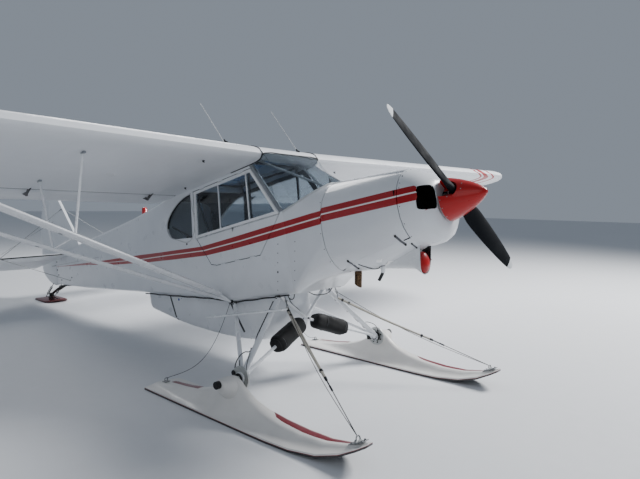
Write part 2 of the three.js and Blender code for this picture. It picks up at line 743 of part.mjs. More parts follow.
// Pins on a cabin door's hinge line, with lugs on the shell side of the line.
function doorHinges(line, lugSide, pinRadius) {
  const [[x0, z0], [x1, z1]] = line;
  const length = Math.hypot(x1 - x0, z1 - z0);
  let pins = null;
  let lugs = null;
  for (const t of DOOR_HINGE_PLACES) {
    const end = t + DOOR_HINGE_LENGTH / length;
    const a = [mix(x0, x1, t), -CABIN_HALF_WIDTH, mix(z0, z1, t)];
    const b = [mix(x0, x1, end), -CABIN_HALF_WIDTH, mix(z0, z1, end)];
    const pin = rod(a, b, pinRadius, 12);
    const lugOutline = [
      [a[0], a[2] + lugSide * 3],
      [b[0], b[2] + lugSide * 3],
      [b[0], b[2] + lugSide * 10],
      [a[0], a[2] + lugSide * 10],
    ];
    const lug = sidePlate(lugOutline, -CABIN_HALF_WIDTH - 3, -CABIN_HALF_WIDTH + 8);
    pins = pins ? pins.add(pin) : pin;
    lugs = lugs ? lugs.add(lug) : lug;
  }
  return { pins, lugs };
}

function shrunk(outline, amount) {
  const count = outline.length;
  let area = 0;
  for (let i = 0; i < count; i += 1) {
    const [x0, z0] = outline[i];
    const [x1, z1] = outline[(i + 1) % count];
    area += (x0 * z1 - x1 * z0) / 2;
  }
  const turn = area > 0 ? 1 : -1;
  return outline.map(([x, z], i) => {
    const [px, pz] = outline[(i + count - 1) % count];
    const [nx, nz] = outline[(i + 1) % count];
    const before = new THREE.Vector2(x - px, z - pz).normalize();
    const after = new THREE.Vector2(nx - x, nz - z).normalize();
    const inward = new THREE.Vector2(-before.y - after.y, before.x + after.x);
    inward.multiplyScalar(turn).normalize();
    const across = new THREE.Vector2(-before.y, before.x).multiplyScalar(turn);
    const sine = Math.max(inward.dot(across), 0.35);
    return [x + (inward.x * amount) / sine, z + (inward.y * amount) / sine];
  });
}

// Cabin: flat fabric sides, floor, rear deck and bulkhead, cut for doors and windows.
const CABIN_STATIONS = [
  [130, 345, -1188, 60, 60, -40, 60, 6],
  [-640, 345, -1188, 40, 40, -30, 90, 6],
  [-900, 345, -1135, 40, 40, -20, 92, 6],
  [-1104, 345, -1107, 40, 40, -60, 48, 4],
  [-1400, 345, -1068, 40, 40, -112, 2, 3],
  [-1640, 338, -1036, 40, 40, -138, -43, 2.2],
];
const TAIL_STATIONS = [
  [-1640, 338, -1036, 40, 40, -138, -43, 2.2],
  [-2320, 272, -944, 40, 40, -170, -74, 1.8],
  [-3020, 205, -862, 34, 34, -177, -96, 1.6],
  [-3860, 124, -762, 28, 28, -190, -122, 1.6],
  [-4500, 62, -672, 20, 24, -206, -156, 1.7],
  [-4946, 20, -606, 12, 20, -216, -184, 1.8],
];

// Lofts a list of stations; the first one may be moved along x by firstShift.
function loftStations(stations, inset = 0, firstShift = 0) {
  const rings = stations.map((station, i) => {
    const x = station[0] + (i === 0 ? firstShift : 0);
    return sectionRing(x, station, inset);
  });
  return loft(rings);
}

function buildCabin() {
  const outer = loftStations(CABIN_STATIONS);
  const lastInner = [...CABIN_STATIONS[CABIN_STATIONS.length - 1]];
  lastInner[0] += WALL;
  const inner = loftStations([...CABIN_STATIONS.slice(0, -1), lastInner], WALL, 10);
  let shell = outer.subtract(inner);
  const deckX = DECK_START_X - SEAM_GAP;
  const wingLine = [deckX, -800, -400, -160, -80, -40].map((x) => [x, wingUnderside(x) - 1]);
  const openTop = [[200, -30], [200, 300], [deckX, 300], ...wingLine];
  shell = shell.subtract(sidePlate(openTop, -400, 400));
  const front = [POST_FOOT, POST_TOP, [POST_TOP[0], 200], [260, 200], [260, POST_FOOT[1]]];
  shell = shell.subtract(sidePlate(front, -400, 400));
  shell = shell.subtract(sidePlate(shrunk(UPPER_DOOR_OUTLINE, -MOVING_GAP), -400, -300));
  shell = shell.subtract(sidePlate(shrunk(LOWER_DOOR_OUTLINE, -MOVING_GAP), -400, -300));
  shell = shell.subtract(sidePlate(shrunk(UPPER_DOOR_OUTLINE, 10), 300, 400));
  for (const [y0, y1] of [[-400, -300], [300, 400]]) {
    shell = shell.subtract(sidePlate(REAR_WINDOW_OUTLINE, y0, y1));
  }
  for (const [line, lugSide] of [[UPPER_DOOR_HINGE, 1], [LOWER_DOOR_HINGE, -1]]) {
    const { pins, lugs } = doorHinges(line, lugSide, HINGE_PIN_RADIUS);
    shell = shell.add(pins).add(lugs);
  }
  addPart("cabin_shell", shell, whitePaint);

  const upperPins = doorHinges(UPPER_DOOR_HINGE, 1, HINGE_PIN_RADIUS + PIN_GAP).pins;
  const lowerPins = doorHinges(LOWER_DOOR_HINGE, -1, HINGE_PIN_RADIUS + PIN_GAP).pins;
  const paneY = CABIN_HALF_WIDTH - 14;
  const panes = [
    ["side_window_left", UPPER_DOOR_OUTLINE, 10.4, paneY - GLASS],
    ["rear_window_left", REAR_WINDOW_OUTLINE, 0.4, paneY - GLASS],
    ["rear_window_right", REAR_WINDOW_OUTLINE, 0.4, -paneY],
    ["door_upper_window", UPPER_DOOR_OUTLINE, 24.4, -paneY],
  ];
  for (const [name, outline, inset, y] of panes) {
    addPart(name, sidePlate(shrunk(outline, inset), y, y + GLASS), clearPlastic);
  }
  const outerY = -CABIN_HALF_WIDTH;
  const innerY = WALL - CABIN_HALF_WIDTH;
  const doorFrame = sidePlate(UPPER_DOOR_OUTLINE, outerY, innerY).subtract(
    sidePlate(shrunk(UPPER_DOOR_OUTLINE, 24), outerY - 5, innerY + 5),
  );
  addPart("door_upper", doorFrame.subtract(upperPins), whitePaint);
  addPart("door_lower", sidePlate(LOWER_DOOR_OUTLINE, outerY, innerY).subtract(lowerPins), whitePaint);
}

// Roof between the wing roots, with its skylight.
function buildRoof() {
  const half = CABIN_HALF_WIDTH - 0.2;
  const slab = loft([wingRing(-half), wingRing(half)]);
  const front = slab.intersect(box(60, DECK_START_X, -400, 400, -300, 300));
  const skyHole = box(-250, -1060, -300, 300, -300, 300);
  const lid = slab.subtract(shifted(loft([wingRing(-half - 5), wingRing(half + 5)]), 0, 0, -GLASS));
  const underCut = box(-60, -1060, -320, 320, -300, ROOF_UNDERSIDE_Z);
  addPart("roof", front.subtract(skyHole).subtract(underCut), whitePaint);
  addPart("skylight", lid.intersect(box(-250.4, -1059.6, -299.6, 299.6, 0, 300)), clearPlastic);
}

function fuselageBottom(x) {
  return along([...CABIN_STATIONS, ...TAIL_STATIONS.slice(1)].map((row) => [row[0], row[2]]), x);
}

function floorTop(x) {
  return fuselageBottom(x) + WALL + SEAM_GAP + 0.2;
}

function buildInterior() {
  const hoodLine = WINDSHIELD_BASE.filter(([x]) => x > 140 && x < 490);
  const hoodTop = hoodLine.map(([x, z]) => [x, z - 16]);
  const hoodUnder = [...hoodLine].reverse().map(([x, z]) => [x, z - 32]);
  const hood = [[160, -522], ...hoodTop, ...hoodUnder, [160, -538]];
  const room = bodyLoft([497, ...BOOT_SKIN_X.slice(1, -1), 140], SHEET + SEAM_GAP);
  const panel = sidePlate([[150, -516], [172, -516], [172, -760], [150, -760]], -400, 400);
  addPart("instrument_panel", sidePlate(hood, -400, 400).add(panel).intersect(room), darkTrim);

  const seats = [
    ["front_seat", -300, -700, 210],
    ["rear_seat", -960, -1320, 230],
  ];
  for (const [name, frontX, backX, halfWidth] of seats) {
    const outline = [
      [frontX - 20, floorTop(frontX - 20)], [frontX, -890], [backX + 90, -905], [backX - 10, -470],
      [backX - 70, -470], [backX, -905], [backX + 20, floorTop(backX + 20)],
      [backX + 60, floorTop(backX + 60)], [backX + 60, -960], [frontX - 60, -960],
      [frontX - 60, floorTop(frontX - 60)],
    ];
    addPart(name, sidePlate(outline, -halfWidth, halfWidth), seatCloth);
  }
}

function buildTail() {
  let tailBody = loftStations(TAIL_STATIONS, 0, -SEAM_GAP);
  const finOutline = [
    [-4170, -135], [-4300, 76], [-4640, 560], [-4740, 668], [-4830, 716], [-4912, 734], [-4950, 734],
    [-4950, -190], [-4600, -170],
  ];
  let fin = sidePlate(finOutline, -18, 18).subtract(loftStations(TAIL_STATIONS, -SEAM_GAP));

  const rudderFrontX = RUDDER_HINGE_X + HINGE_NOSE_REACH;
  const rudderOutline = [
    [rudderFrontX, 738], [rudderFrontX, -618], [-5060, -612], [-5180, -572], [-5290, -512],
    [-5400, -420], [-5452, -330], [-5448, -200], [-5410, -60], [-5390, 130], [-5362, 290], [-5318, 440],
    [-5250, 570], [-5160, 668], [-5060, 724],
  ];
  let rudder = sidePlate(rudderOutline, -17, 17);
  for (const z of RUDDER_HINGE_HEIGHTS) {
    const { arm, slot, pin } = hingeSet([RUDDER_HINGE_X, 0, z], [0, 0, 1], [1, 0, 0], HINGE_ARM_REACH, 9);
    rudder = rudder.subtract(slot).add(pin);
    if (z > 0) fin = fin.add(arm);
    else tailBody = tailBody.add(arm);
  }
  addPart("rear_fuselage", tailBody, whitePaint);
  addPart("fin", fin, whitePaint);
  addPart("rudder", rudder, whitePaint);

  const droop = new THREE.Matrix4()
    .makeTranslation(ELEVATOR_HINGE_X, 0, STABILIZER_Z)
    .multiply(new THREE.Matrix4().makeRotationY(-degrees(ELEVATOR_DROOP_DEG)));
  for (const [tag, side] of [["left", 1], ["right", -1]]) {
    const trailingX = ELEVATOR_HINGE_X + 24;
    const stabilizerOutline = [
      [-4330, side * 86], [-4390, side * 500], [-4470, side * 1000], [-4560, side * 1380],
      [-4640, side * 1540], [-4740, side * STABILIZER_HALF_SPAN], [trailingX, side * 1604],
      [trailingX, side * 46],
    ];
    let stabilizer = planPlate(stabilizerOutline, STABILIZER_Z - 17, STABILIZER_Z + 17);
    stabilizer = stabilizer.subtract(loftStations(TAIL_STATIONS, -SEAM_GAP));
    const nose = HINGE_NOSE_REACH;
    const elevatorOutline = [
      [nose, side * 52], [nose, side * 1600], [-80, side * 1590], [-200, side * 1545], [-300, side * 1440],
      [-352, side * 1300], [-366, side * 1100], [-372, side * 230], [-350, side * 190], [-110, side * 76],
    ];
    let elevator = placed(planPlate(elevatorOutline, -15, 15), droop);
    for (const y of ELEVATOR_HINGE_PLACES) {
      const pivot = [ELEVATOR_HINGE_X, side * y, STABILIZER_Z];
      const { arm, slot, pin } = hingeSet(pivot, [0, 1, 0], [1, 0, 0], HINGE_ARM_REACH, 9);
      stabilizer = stabilizer.add(arm);
      elevator = elevator.subtract(slot).add(pin);
    }
    addPart(`stabilizer_${tag}`, stabilizer, whitePaint);
    addPart(`elevator_${tag}`, elevator, whitePaint);
  }
  const tailHalfWidth = along(TAIL_STATIONS.map((row) => [row[0], row[1]]), -4440);
  for (const [name, side] of [["tail_stay_left", 1], ["tail_stay_right", -1]]) {
    const finFitting = [-4590, side * 24.6, 440];
    const bend = [-4446.4, side * 930, STABILIZER_Z];
    const lowFitting = [-4440, side * (tailHalfWidth + 6.6), -600];
    let wires = rod(finFitting, bend, 4, 6).add(rod(bend, lowFitting, 4, 6)).add(ball(bend, 12, 6));
    for (const fitting of [finFitting, lowFitting]) wires = wires.add(ball(fitting, 6, 6));
    addPart(name, wires, steel);
  }
}

function buildWings() {
  for (const [tag, side] of [["left", 1], ["right", -1]]) {
    const rings = [wingRing(side * WING_ROOT_Y)];
    for (const y of WING_TIP_ROWS) rings.push(tipRing(side, y));
    let wing = loft(rings);
    const cutInner = side * (FLAP_START_Y - MOVING_GAP);
    const cutOuter = side * (AILERON_END_Y + MOVING_GAP);
    wing = wing.subtract(box(CONTROL_CUT_X, -1700, cutInner, cutOuter, -400, 400));
    buildStruts(tag, side, wing);

    let flap = controlSurface(side, FLAP_START_Y, FLAP_END_Y);
    for (const y of FLAP_HINGE_PLACES) {
      const { fixedArm, movingArm } = flapHinge(side * y);
      wing = wing.add(fixedArm);
      flap = flap.add(movingArm);
    }
    let aileron = controlSurface(side, AILERON_START_Y, AILERON_END_Y);
    const spanDirection = [0, 1, side * Math.tan(degrees(WING_DIHEDRAL_DEG))];
    const armReach = CONTROL_CUT_X + 8 - CONTROL_PIVOT_X;
    for (const y of AILERON_HINGE_PLACES) {
      const pivot = [CONTROL_PIVOT_X, side * y, controlMiddleZ() + dihedralLift(y)];
      const { arm, slot, pin } = hingeSet(pivot, spanDirection, [1, 0, 0], armReach, 12);
      wing = wing.add(arm);
      aileron = aileron.subtract(slot).add(pin);
    }
    addPart(`wing_${tag}`, wing, whitePaint);
    addPart(`flap_${tag}`, flap, whitePaint);
    addPart(`aileron_${tag}`, aileron, whitePaint);
  }
}

function controlMiddleZ() {
  const t = -CONTROL_PIVOT_X / WING_CHORD;
  return (wingSkinZ(t, true) + wingSkinZ(t, false)) / 2;
}

// Two flap brackets side by side that meet at the pivot below the wing.
function flapHinge(y) {
  const lift = dihedralLift(y);
  const pivotZ = wingUnderside(CONTROL_PIVOT_X) - FLAP_PIVOT_DROP;
  const x = CONTROL_PIVOT_X;
  const fixedOutline = [
    [-1170, -74], [-1262, -77], [x - 8, pivotZ + 9], [x - 12, pivotZ], [x - 8, pivotZ - 9],
    [x + 8, pivotZ - 9],
  ];
  const movingOutline = [
    [x - 34, -80], [x - 120, -80], [x - 8, pivotZ - 9], [x + 8, pivotZ - 9], [x + 12, pivotZ],
    [x + 8, pivotZ + 9], [x - 16, pivotZ + 12],
  ];
  const half = HINGE_ARM_THICKNESS / 2;
  const raised = (outline) => outline.map(([px, pz]) => [px, pz + lift]);
  return {
    fixedArm: sidePlate(raised(fixedOutline), y - half, y + half),
    movingArm: sidePlate(raised(movingOutline), y + half + SEAM_GAP, y + half + SEAM_GAP + 6),
  };
}

// Flap or aileron: round nose, flat skins, thin trailing edge.
function controlSurface(side, startY, endY) {
  const middle = controlMiddleZ();
  const radius = wingSkinZ(-CONTROL_PIVOT_X / WING_CHORD, true) - middle;
  const section = [[-WING_CHORD, wingSkinZ(1, false)], [-WING_CHORD, wingSkinZ(1, true)]];
  for (let i = 0; i <= 6; i += 1) {
    const angle = Math.PI / 2 - (Math.PI * i) / 6;
    section.push([CONTROL_PIVOT_X + radius * Math.cos(angle), middle + radius * Math.sin(angle)]);
  }
  const rings = [startY, endY].map((y) => section.map(([x, z]) => [x, side * y, z + dihedralLift(y)]));
  return loft(rings);
}

const STRUT_TOPS = [[-215, 3170], [-1040, 3130]];
const JURY_SHARE = 0.518;
const JURY_TOPS = [[-262, 1726], [-994, 1726]];

// Point just inside the underside of a wing.
function wingFoot([x, y], side) {
  return [x, side * y, wingUnderside(x) + dihedralLift(y) + 4];
}

function buildStruts(tag, side, wing) {
  const [frontTop, rearTop] = STRUT_TOPS.map((place) => wingFoot(place, side));
  const frontLow = [-748, side * 405, -1092];
  const rearLow = [-790, side * 405, -1118];
  const fitting = [-668, side * 352, -1176];
  const front = ovalTube(frontTop, frontLow, 88, 42);
  const rear = ovalTube(rearTop, rearLow, 62, 30);
  const lug = ovalTube(frontLow, fitting, 36, 16, 8);
  const rearLug = ovalTube(rearLow, fitting, 30, 14, 8);
  const join = ball(frontLow, 26, 6).add(ball(rearLow, 18, 6)).add(ball(fitting, 12, 6));
  const frontMid = between(frontTop, frontLow, JURY_SHARE);
  const rearMid = between(rearTop, rearLow, JURY_SHARE);
  const juryFront = rod(frontMid, wingFoot(JURY_TOPS[0], side), 9, 8);
  const juryRear = rod(rearMid, wingFoot(JURY_TOPS[1], side), 9, 8);
  const cross = rod(frontMid, rearMid, 8, 8);
  const all = front.add(rear).add(lug).add(rearLug).add(join).add(juryFront).add(juryRear).add(cross);
  addPart(`lift_struts_${tag}`, all.subtract(shifted(wing, 0, 0, -SEAM_GAP)), whitePaint);
}

function buildPropeller() {
  const profile = [new THREE.Vector2(0, 0)];
  const steps = 10;
  for (let i = 0; i <= steps; i += 1) {
    const t = (i / steps) ** 0.85;
    const radius = SPINNER_RADIUS * (1 - t ** 1.26) ** 0.69;
    profile.push(new THREE.Vector2(i === steps ? 0 : radius, t * SPINNER_LENGTH));
  }
  const geometry = new THREE.LatheGeometry(profile, 24);
  geometry.rotateZ(-Math.PI / 2);
  geometry.translate(SPINNER_BACK_X, 0, PROP_AXIS_Z);
  const rest = new THREE.Matrix4()
    .makeTranslation(0, 0, PROP_AXIS_Z)
    .multiply(new THREE.Matrix4().makeRotationX(degrees(PROP_REST_TURN_DEG)));
  const clearance = placed(bladePair(SEAM_GAP).add(spinnerNotches()), rest);
  addPart("spinner", solidFromGeometry(geometry).subtract(clearance), stripeRed);
  addPart("propeller", placed(bladePair(0), rest), propellerBlack);
}

// Room in the spinner for the two blade roots: open at the back, round in front.
function spinnerNotches() {
  const half = SPINNER_NOTCH_HALF;
  const outer = SPINNER_RADIUS + 20;
  const frontX = PROP_DISC_X - 10;
  let notches = null;
  for (const side of [-1, 1]) {
    const middle = side * SPINNER_NOTCH_OFFSET;
    const [near, far] = [side * (HUB_RADIUS + 8), side * outer].sort((a, b) => a - b);
    const notch = box(SPINNER_BACK_X - 5, frontX, near, far, middle - half, middle + half)
      .add(rod([frontX, near, middle], [frontX, far, middle], half, 20));
    notches = notches ? notches.add(notch) : notch;
  }
  return notches;
}

// Blade sections: radius, chord, thickness, pitch angle.
const BLADE_ROWS = [
  [30, 66, 56, 62], [110, 84, 56, 48], [160, 108, 50, 38], [210, 135, 44, 28], [262, 146, 38, 23],
  [350, 148, 32, 20], [450, 146, 26, 18], [560, 138, 20, 16.5], [700, 121, 14, 15], [800, 100, 11, 14],
  [850, 86, 9, 13], [885, 64, 7, 13], [PROP_RADIUS, 30, 5, 13],
];

// Two twisted blades on a round hub, along y before the parked turn.
function bladePair(grow) {
  const hubHalf = 40 + grow;
  let blades = rod([PROP_DISC_X - hubHalf, 0, 0], [PROP_DISC_X + hubHalf, 0, 0], HUB_RADIUS + grow, 20);
  for (const side of [-1, 1]) {
    const rings = BLADE_ROWS.map(([radius, chord, thickness, angle]) => {
      const twist = degrees(angle) * side;
      const ring = [];
      for (let i = 0; i < 10; i += 1) {
        const around = (2 * Math.PI * i) / 10;
        const u = (chord / 2 + grow) * Math.cos(around);
        const v = (thickness / 2 + grow) * Math.sin(around);
        ring.push([
          PROP_DISC_X + u * Math.sin(twist) + v * Math.cos(twist),
          side * radius,
          u * Math.cos(twist) - v * Math.sin(twist),
        ]);
      }
      return ring;
    });
    blades = blades.add(loft(rings));
  }
  return blades;
}

// Top fittings and foot of one gear leg's front and rear tubes.
function gearPoints(side) {
  return {
    frontTop: [GEAR_FRONT_X, side * GEAR_TOP_Y, GEAR_TOP_Z],
    rearTop: [GEAR_REAR_X, side * GEAR_TOP_Y, GEAR_TOP_Z],
    foot: [AXLE_X, side * (AXLE_INNER_Y + 10), AXLE_Z + 14],
  };
}

function legTubes({ frontTop, rearTop, foot }, grow) {
  return ovalTube(frontTop, foot, 62 + grow, 32 + grow, 10)
    .add(ovalTube(rearTop, foot, 40 + grow, 28 + grow, 10));
}

function buildGear() {
  for (const [tag, side] of [["left", 1], ["right", -1]]) {
    const { frontTop, rearTop, foot } = gearPoints(side);
    const onAxle = (y0, y1, radius, sides) => (
      rod([AXLE_X, side * y0, AXLE_Z], [AXLE_X, side * y1, AXLE_Z], radius, sides)
    );
    let all = legTubes(gearPoints(side), 0)
      .add(onAxle(AXLE_INNER_Y, AXLE_OUTER_Y, AXLE_RADIUS, 16))
      .add(onAxle(...BRAKE_DISC_Y, BRAKE_DISC_RADIUS, 20))
      .add(onAxle(...WHEEL_HUB_Y, WHEEL_HUB_RADIUS, 12))
      .add(onAxle(AXLE_OUTER_Y - 4, AXLE_OUTER_Y + 16, AXLE_NUT_RADIUS, 12))
      .add(ball(foot, GEAR_FOOT_RADIUS, 8));
    for (const x of [GEAR_FRONT_X, GEAR_REAR_X]) {
      all = all.add(rod([x, side * 300, GEAR_PIN_Z], [x, side * 340, GEAR_PIN_Z], GEAR_PIN_RADIUS, 8));
    }
    if (side < 0) {
      const height = STEP_Z - 6;
      const t = (height - frontTop[2]) / (foot[2] - frontTop[2]);
      for (const top of [frontTop, rearTop]) {
        const [x, y] = between(top, foot, t);
        all = all.add(box(x - 14, x + 14, y, STEP_INNER_Y + SEAM_GAP, height - 5, height + 5));
      }
    }
    all = all.subtract(box(-900, 200, -400, 400, fuselageBottom(0) - SEAM_GAP, -1000));
    addPart(`gear_leg_${tag}`, all, whitePaint);

    const top = [CABANE_VERTEX[0], side * 20, CABANE_VERTEX[2] - 6];
    const bottom = [AXLE_X, side * (AXLE_INNER_Y - 10), AXLE_Z + 10];
    const shock = rod(between(top, bottom, 0.07), between(top, bottom, 0.53), SHOCK_COVER_RADIUS, 16)
      .add(rod(top, bottom, SHOCK_ROD_RADIUS, 12))
      .subtract(ball(foot, GEAR_FOOT_RADIUS + 0.6, 8))
      .subtract(ovalTube(frontTop, foot, 63, 33, 10))
      .subtract(ball(CABANE_VERTEX, CABANE_BALL_RADIUS + 0.6, 10));
    addPart(`shock_strut_${tag}`, shock, coverBlack);
  }
  let cabane = ball(CABANE_VERTEX, CABANE_BALL_RADIUS, 10);
  for (const side of [-1, 1]) {
    cabane = cabane.add(ovalTube([CABANE_VERTEX[0], side * 285, -1180], CABANE_VERTEX, 40, 22, 10));
  }
  const cabaneTop = box(-300, 200, -400, 400, fuselageBottom(0) - SEAM_GAP, -1000);
  addPart("cabane", cabane.subtract(cabaneTop), whitePaint);

  const boardOutline = [
    [110, STEP_INNER_Y], [147, STEP_INNER_Y - 30], [147, STEP_OUTER_Y], [-810, STEP_OUTER_Y],
    [-830, STEP_INNER_Y],
  ];
  const board = planPlate(boardOutline, STEP_Z - 14, STEP_Z);
  addPart("step_board", board.subtract(legTubes(gearPoints(-1), 1)), whitePaint);
}

function buildPod() {
  const rows = [
    [-150, 80, -1282], [-180, 158, -1342], [-235, 216, -1420], [-315, 256, -1500], [-420, 280, -1548],
    [-640, 290, -1530], [-900, 290, -1489], [-1104, 290, -1444], [-1400, 288, -1375], [-1640, 284, -1306],
    [-2100, 262, -1160], [-2150, 240, -1136],
  ];
  const rings = rows.map(([x, w, low]) => {
    const high = fuselageBottom(x) - SEAM_GAP;
    const r = Math.min(60, (high - low) / 2.5, w * 0.6);
    const half = [];
    for (let i = 0; i <= 4; i += 1) {
      const a = (Math.PI / 2) * (i / 4);
      half.push([w - r + r * Math.sin(a), low + r - r * Math.cos(a)]);
    }
    half.push([w, high]);
    const port = half.map(([y, z]) => [x, y, z]);
    const starboard = [...half].reverse().map(([y, z]) => [x, -y, z]);
    return [...port, ...starboard];
  });
  addPart("belly_pod", loft(rings), whitePaint);
}

// Main ski, flat on the snow, with its saddle mound up to the axle.
function buildSkis() {
  const axleGround = new THREE.Vector3(AXLE_X, 0, AXLE_Z).applyMatrix4(parkedMatrix);
  const axleX = axleGround.x - FRAME_SHIFT_X;
  const rows = [
    [-565, 160, 0, 34, 60], [-400, 162, 0, 52, 60], [-200, 163, 0, 78, 56], [0, 164, 0, 112, 50],
    [120, 164, 0, 152, 44], [220, 164, 0, 206, 40], [290, 164, 0, 262, 38], [335, 164, 0, 288, 38],
    [375, 164, 0, 288, 38], [420, 164, 0, 266, 38], [480, 164, 0, 216, 40], [560, 164, 0, 168, 44],
    [680, 164, 0, 128, 50], [850, 162, 0, 100, 56], [1050, 154, 4, 86, 56], [1250, 130, 24, 92, 46],
    [1400, 98, 66, 120, 34], [1500, 64, 116, 152, 22], [1556, 34, 148, 174, 12],
  ];
  for (const [tag, side] of [["left", 1], ["right", -1]]) {
    const rings = rows.map(([x, w, sole, top, ridge]) => {
      const edge = sole + Math.min(26, (top - sole) * 0.6);
      const rise = top - edge;
      const half = [
        [w, sole], [w, edge], [mix(w, ridge, 0.3), edge + rise * 0.08],
        [mix(w, ridge, 0.6), edge + rise * 0.26], [mix(w, ridge, 0.85), edge + rise * 0.58],
        [ridge, edge + rise * 0.88], [ridge * 0.6, edge + rise * 0.98], [0, top],
      ];
      const port = half.map(([y, z]) => [x, side * SKI_CENTER_Y + y, z]);
      const starboard = half.slice(0, -1).reverse().map(([y, z]) => [x, side * SKI_CENTER_Y - y, z]);
      return [...port, ...starboard];
    });
    const boreEnds = [700, 1200].map((y) => [axleX, side * y, axleGround.z]);
    const bore = rod(...boreEnds, SKI_PIVOT_HOLE_RADIUS, 16);
    addPart(`ski_${tag}`, loft(rings).subtract(bore), skiWhite, groundMatrix);
  }
}

// Tail spring in body stations, tail ski flat on the snow.
function buildTailSki() {
  const leafTop = [
    [-4600, fuselageBottom(-4600) - SEAM_GAP], [-4720, fuselageBottom(-4720) - SEAM_GAP], [-4850, -634],
    [-5000, -656], [-5140, -686], [-5250, -716],
  ];
  const leafUnder = leafTop.map(([x, z]) => [x, z - 14]).reverse();
  const eyeFoot = stationOfGround([TAIL_SKI_X, 0, 62]);
  const eyeTop = stationOfGround([TAIL_SKI_X, 0, 112]);
  const boreFoot = stationOfGround([TAIL_SKI_X, 0, 0]);
  const boreTop = stationOfGround([TAIL_SKI_X, 0, 200]);
  const spring = sidePlate([...leafTop, ...leafUnder], -22, 22)
    .add(rod(eyeFoot, eyeTop, 34, 20))
    .subtract(rod(boreFoot, boreTop, TAIL_PIVOT_RADIUS + PIN_GAP + 0.3, 16));
  addPart("tail_spring", spring, springSteel);
  const rows = [
    [-5260, 120, 0, 18], [-5200, 158, 0, 22], [-5000, 165, 0, 24], [-4850, 160, 0, 24],
    [-4760, 130, 14, 36], [-4700, 70, 44, 60],
  ];
  const rings = rows.map(([x, w, low, high]) => [[x, w, low], [x, w, high], [x, -w, high], [x, -w, low]]);
  const post = rod([TAIL_SKI_X, 0, 10], [TAIL_SKI_X, 0, 114], TAIL_PIVOT_RADIUS, 16);
  const collar = rod([TAIL_SKI_X, 0, 10], [TAIL_SKI_X, 0, 56], 40, 16);
  addPart("tail_ski", loft(rings).add(post).add(collar), tailSkiRed, groundMatrix);
}

function buildAntennas() {
  const whips = [
    ["antenna_left", [-62, 170, 62], [-330, 170, 534]],
    ["antenna_right", [-133, -600, 66], [-399, -600, 523]],
  ];
  for (const [name, base, tip] of whips) {
    const skin = shifted(loft([wingRing(-700), wingRing(-200), wingRing(300)]), 0, 0, SEAM_GAP);
    addPart(name, rod(base, tip, 4, 6).subtract(skin), darkTrim);
  }
}

buildNose();
buildBootCowl();
buildWindshield();
buildCabin();
buildRoof();
buildInterior();
buildTail();
buildWings();
buildPropeller();
buildGear();
buildPod();
buildSkis();
buildTailSki();
buildAntennas();

export default airplane;
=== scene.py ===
"""Looks of the ski plane: paint, fabric, glass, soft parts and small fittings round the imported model.

Airframe sizes are in millimetres: x forward from the wing leading edge, y to port, z up from it.
Ski sizes are in millimetres over level ground.
"""

import json
import logging
import math
from dataclasses import dataclass, field
from enum import Enum
from typing import Callable, Iterable, Sequence

import bmesh
import bpy
from mathutils import Matrix, Vector
from mathutils.bvhtree import BVHTree

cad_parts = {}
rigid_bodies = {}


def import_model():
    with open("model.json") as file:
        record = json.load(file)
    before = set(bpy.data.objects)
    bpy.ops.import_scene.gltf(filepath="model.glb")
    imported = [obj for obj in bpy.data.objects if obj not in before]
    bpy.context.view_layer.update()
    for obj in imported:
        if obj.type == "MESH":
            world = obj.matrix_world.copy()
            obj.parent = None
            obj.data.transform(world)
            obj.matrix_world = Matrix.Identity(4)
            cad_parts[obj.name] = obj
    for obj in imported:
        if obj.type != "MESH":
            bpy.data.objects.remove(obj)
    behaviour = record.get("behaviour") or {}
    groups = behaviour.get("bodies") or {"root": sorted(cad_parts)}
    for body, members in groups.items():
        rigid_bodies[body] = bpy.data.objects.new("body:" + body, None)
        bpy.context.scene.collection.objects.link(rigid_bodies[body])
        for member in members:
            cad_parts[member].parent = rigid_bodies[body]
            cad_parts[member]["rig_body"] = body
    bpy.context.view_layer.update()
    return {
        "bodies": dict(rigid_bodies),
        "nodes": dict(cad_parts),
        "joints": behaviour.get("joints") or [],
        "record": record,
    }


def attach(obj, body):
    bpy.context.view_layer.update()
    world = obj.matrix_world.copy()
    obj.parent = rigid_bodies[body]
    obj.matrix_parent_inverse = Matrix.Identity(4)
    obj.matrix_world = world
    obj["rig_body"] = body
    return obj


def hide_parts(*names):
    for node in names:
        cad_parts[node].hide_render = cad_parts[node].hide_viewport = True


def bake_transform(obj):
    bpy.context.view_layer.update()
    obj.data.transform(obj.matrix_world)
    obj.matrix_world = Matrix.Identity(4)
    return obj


LOG = logging.getLogger("ski_plane")

# Where the parked airframe stands: its pitch, and its wing's leading edge in metres.
PITCH = math.radians(12.5)
SHIFT_X = 1.7465
EDGE_HEIGHT = 1.943
MM = Matrix.Scale(0.001, 4)
AIRFRAME = Matrix.Translation((SHIFT_X, 0, EDGE_HEIGHT)) @ Matrix.Rotation(-PITCH, 4, "Y") @ MM
GROUND = Matrix.Translation((SHIFT_X, 0, 0)) @ MM
SIDES = (("left", 1), ("right", -1))

# The wing's lower skin: its root, its height there, its slope along the chord and along the span.
WING_ROOT_Y = 345.6
WING_SKIN_Z = -50
WING_INCIDENCE = math.sin(math.radians(1.6))
WING_RISE = math.tan(math.radians(1))
# The main skis' axle.
AXLE_X = -23
AXLE_Z = -1726
# The fuselage's bottom, as x and z from the windshield to the tail.
BELLY_LINE = (
    (0, -1188), (-640, -1188), (-900, -1135), (-1104, -1107), (-1400, -1068), (-1640, -1036), (-2150, -968),
)

Pair = tuple[float, float]
Row = tuple[float, float, float, float]
Colour = Row
Point = tuple[float, float, float] | Vector
Spot = tuple[Vector, Vector]
Mesh = bmesh.types.BMesh
Socket = bpy.types.NodeSocket


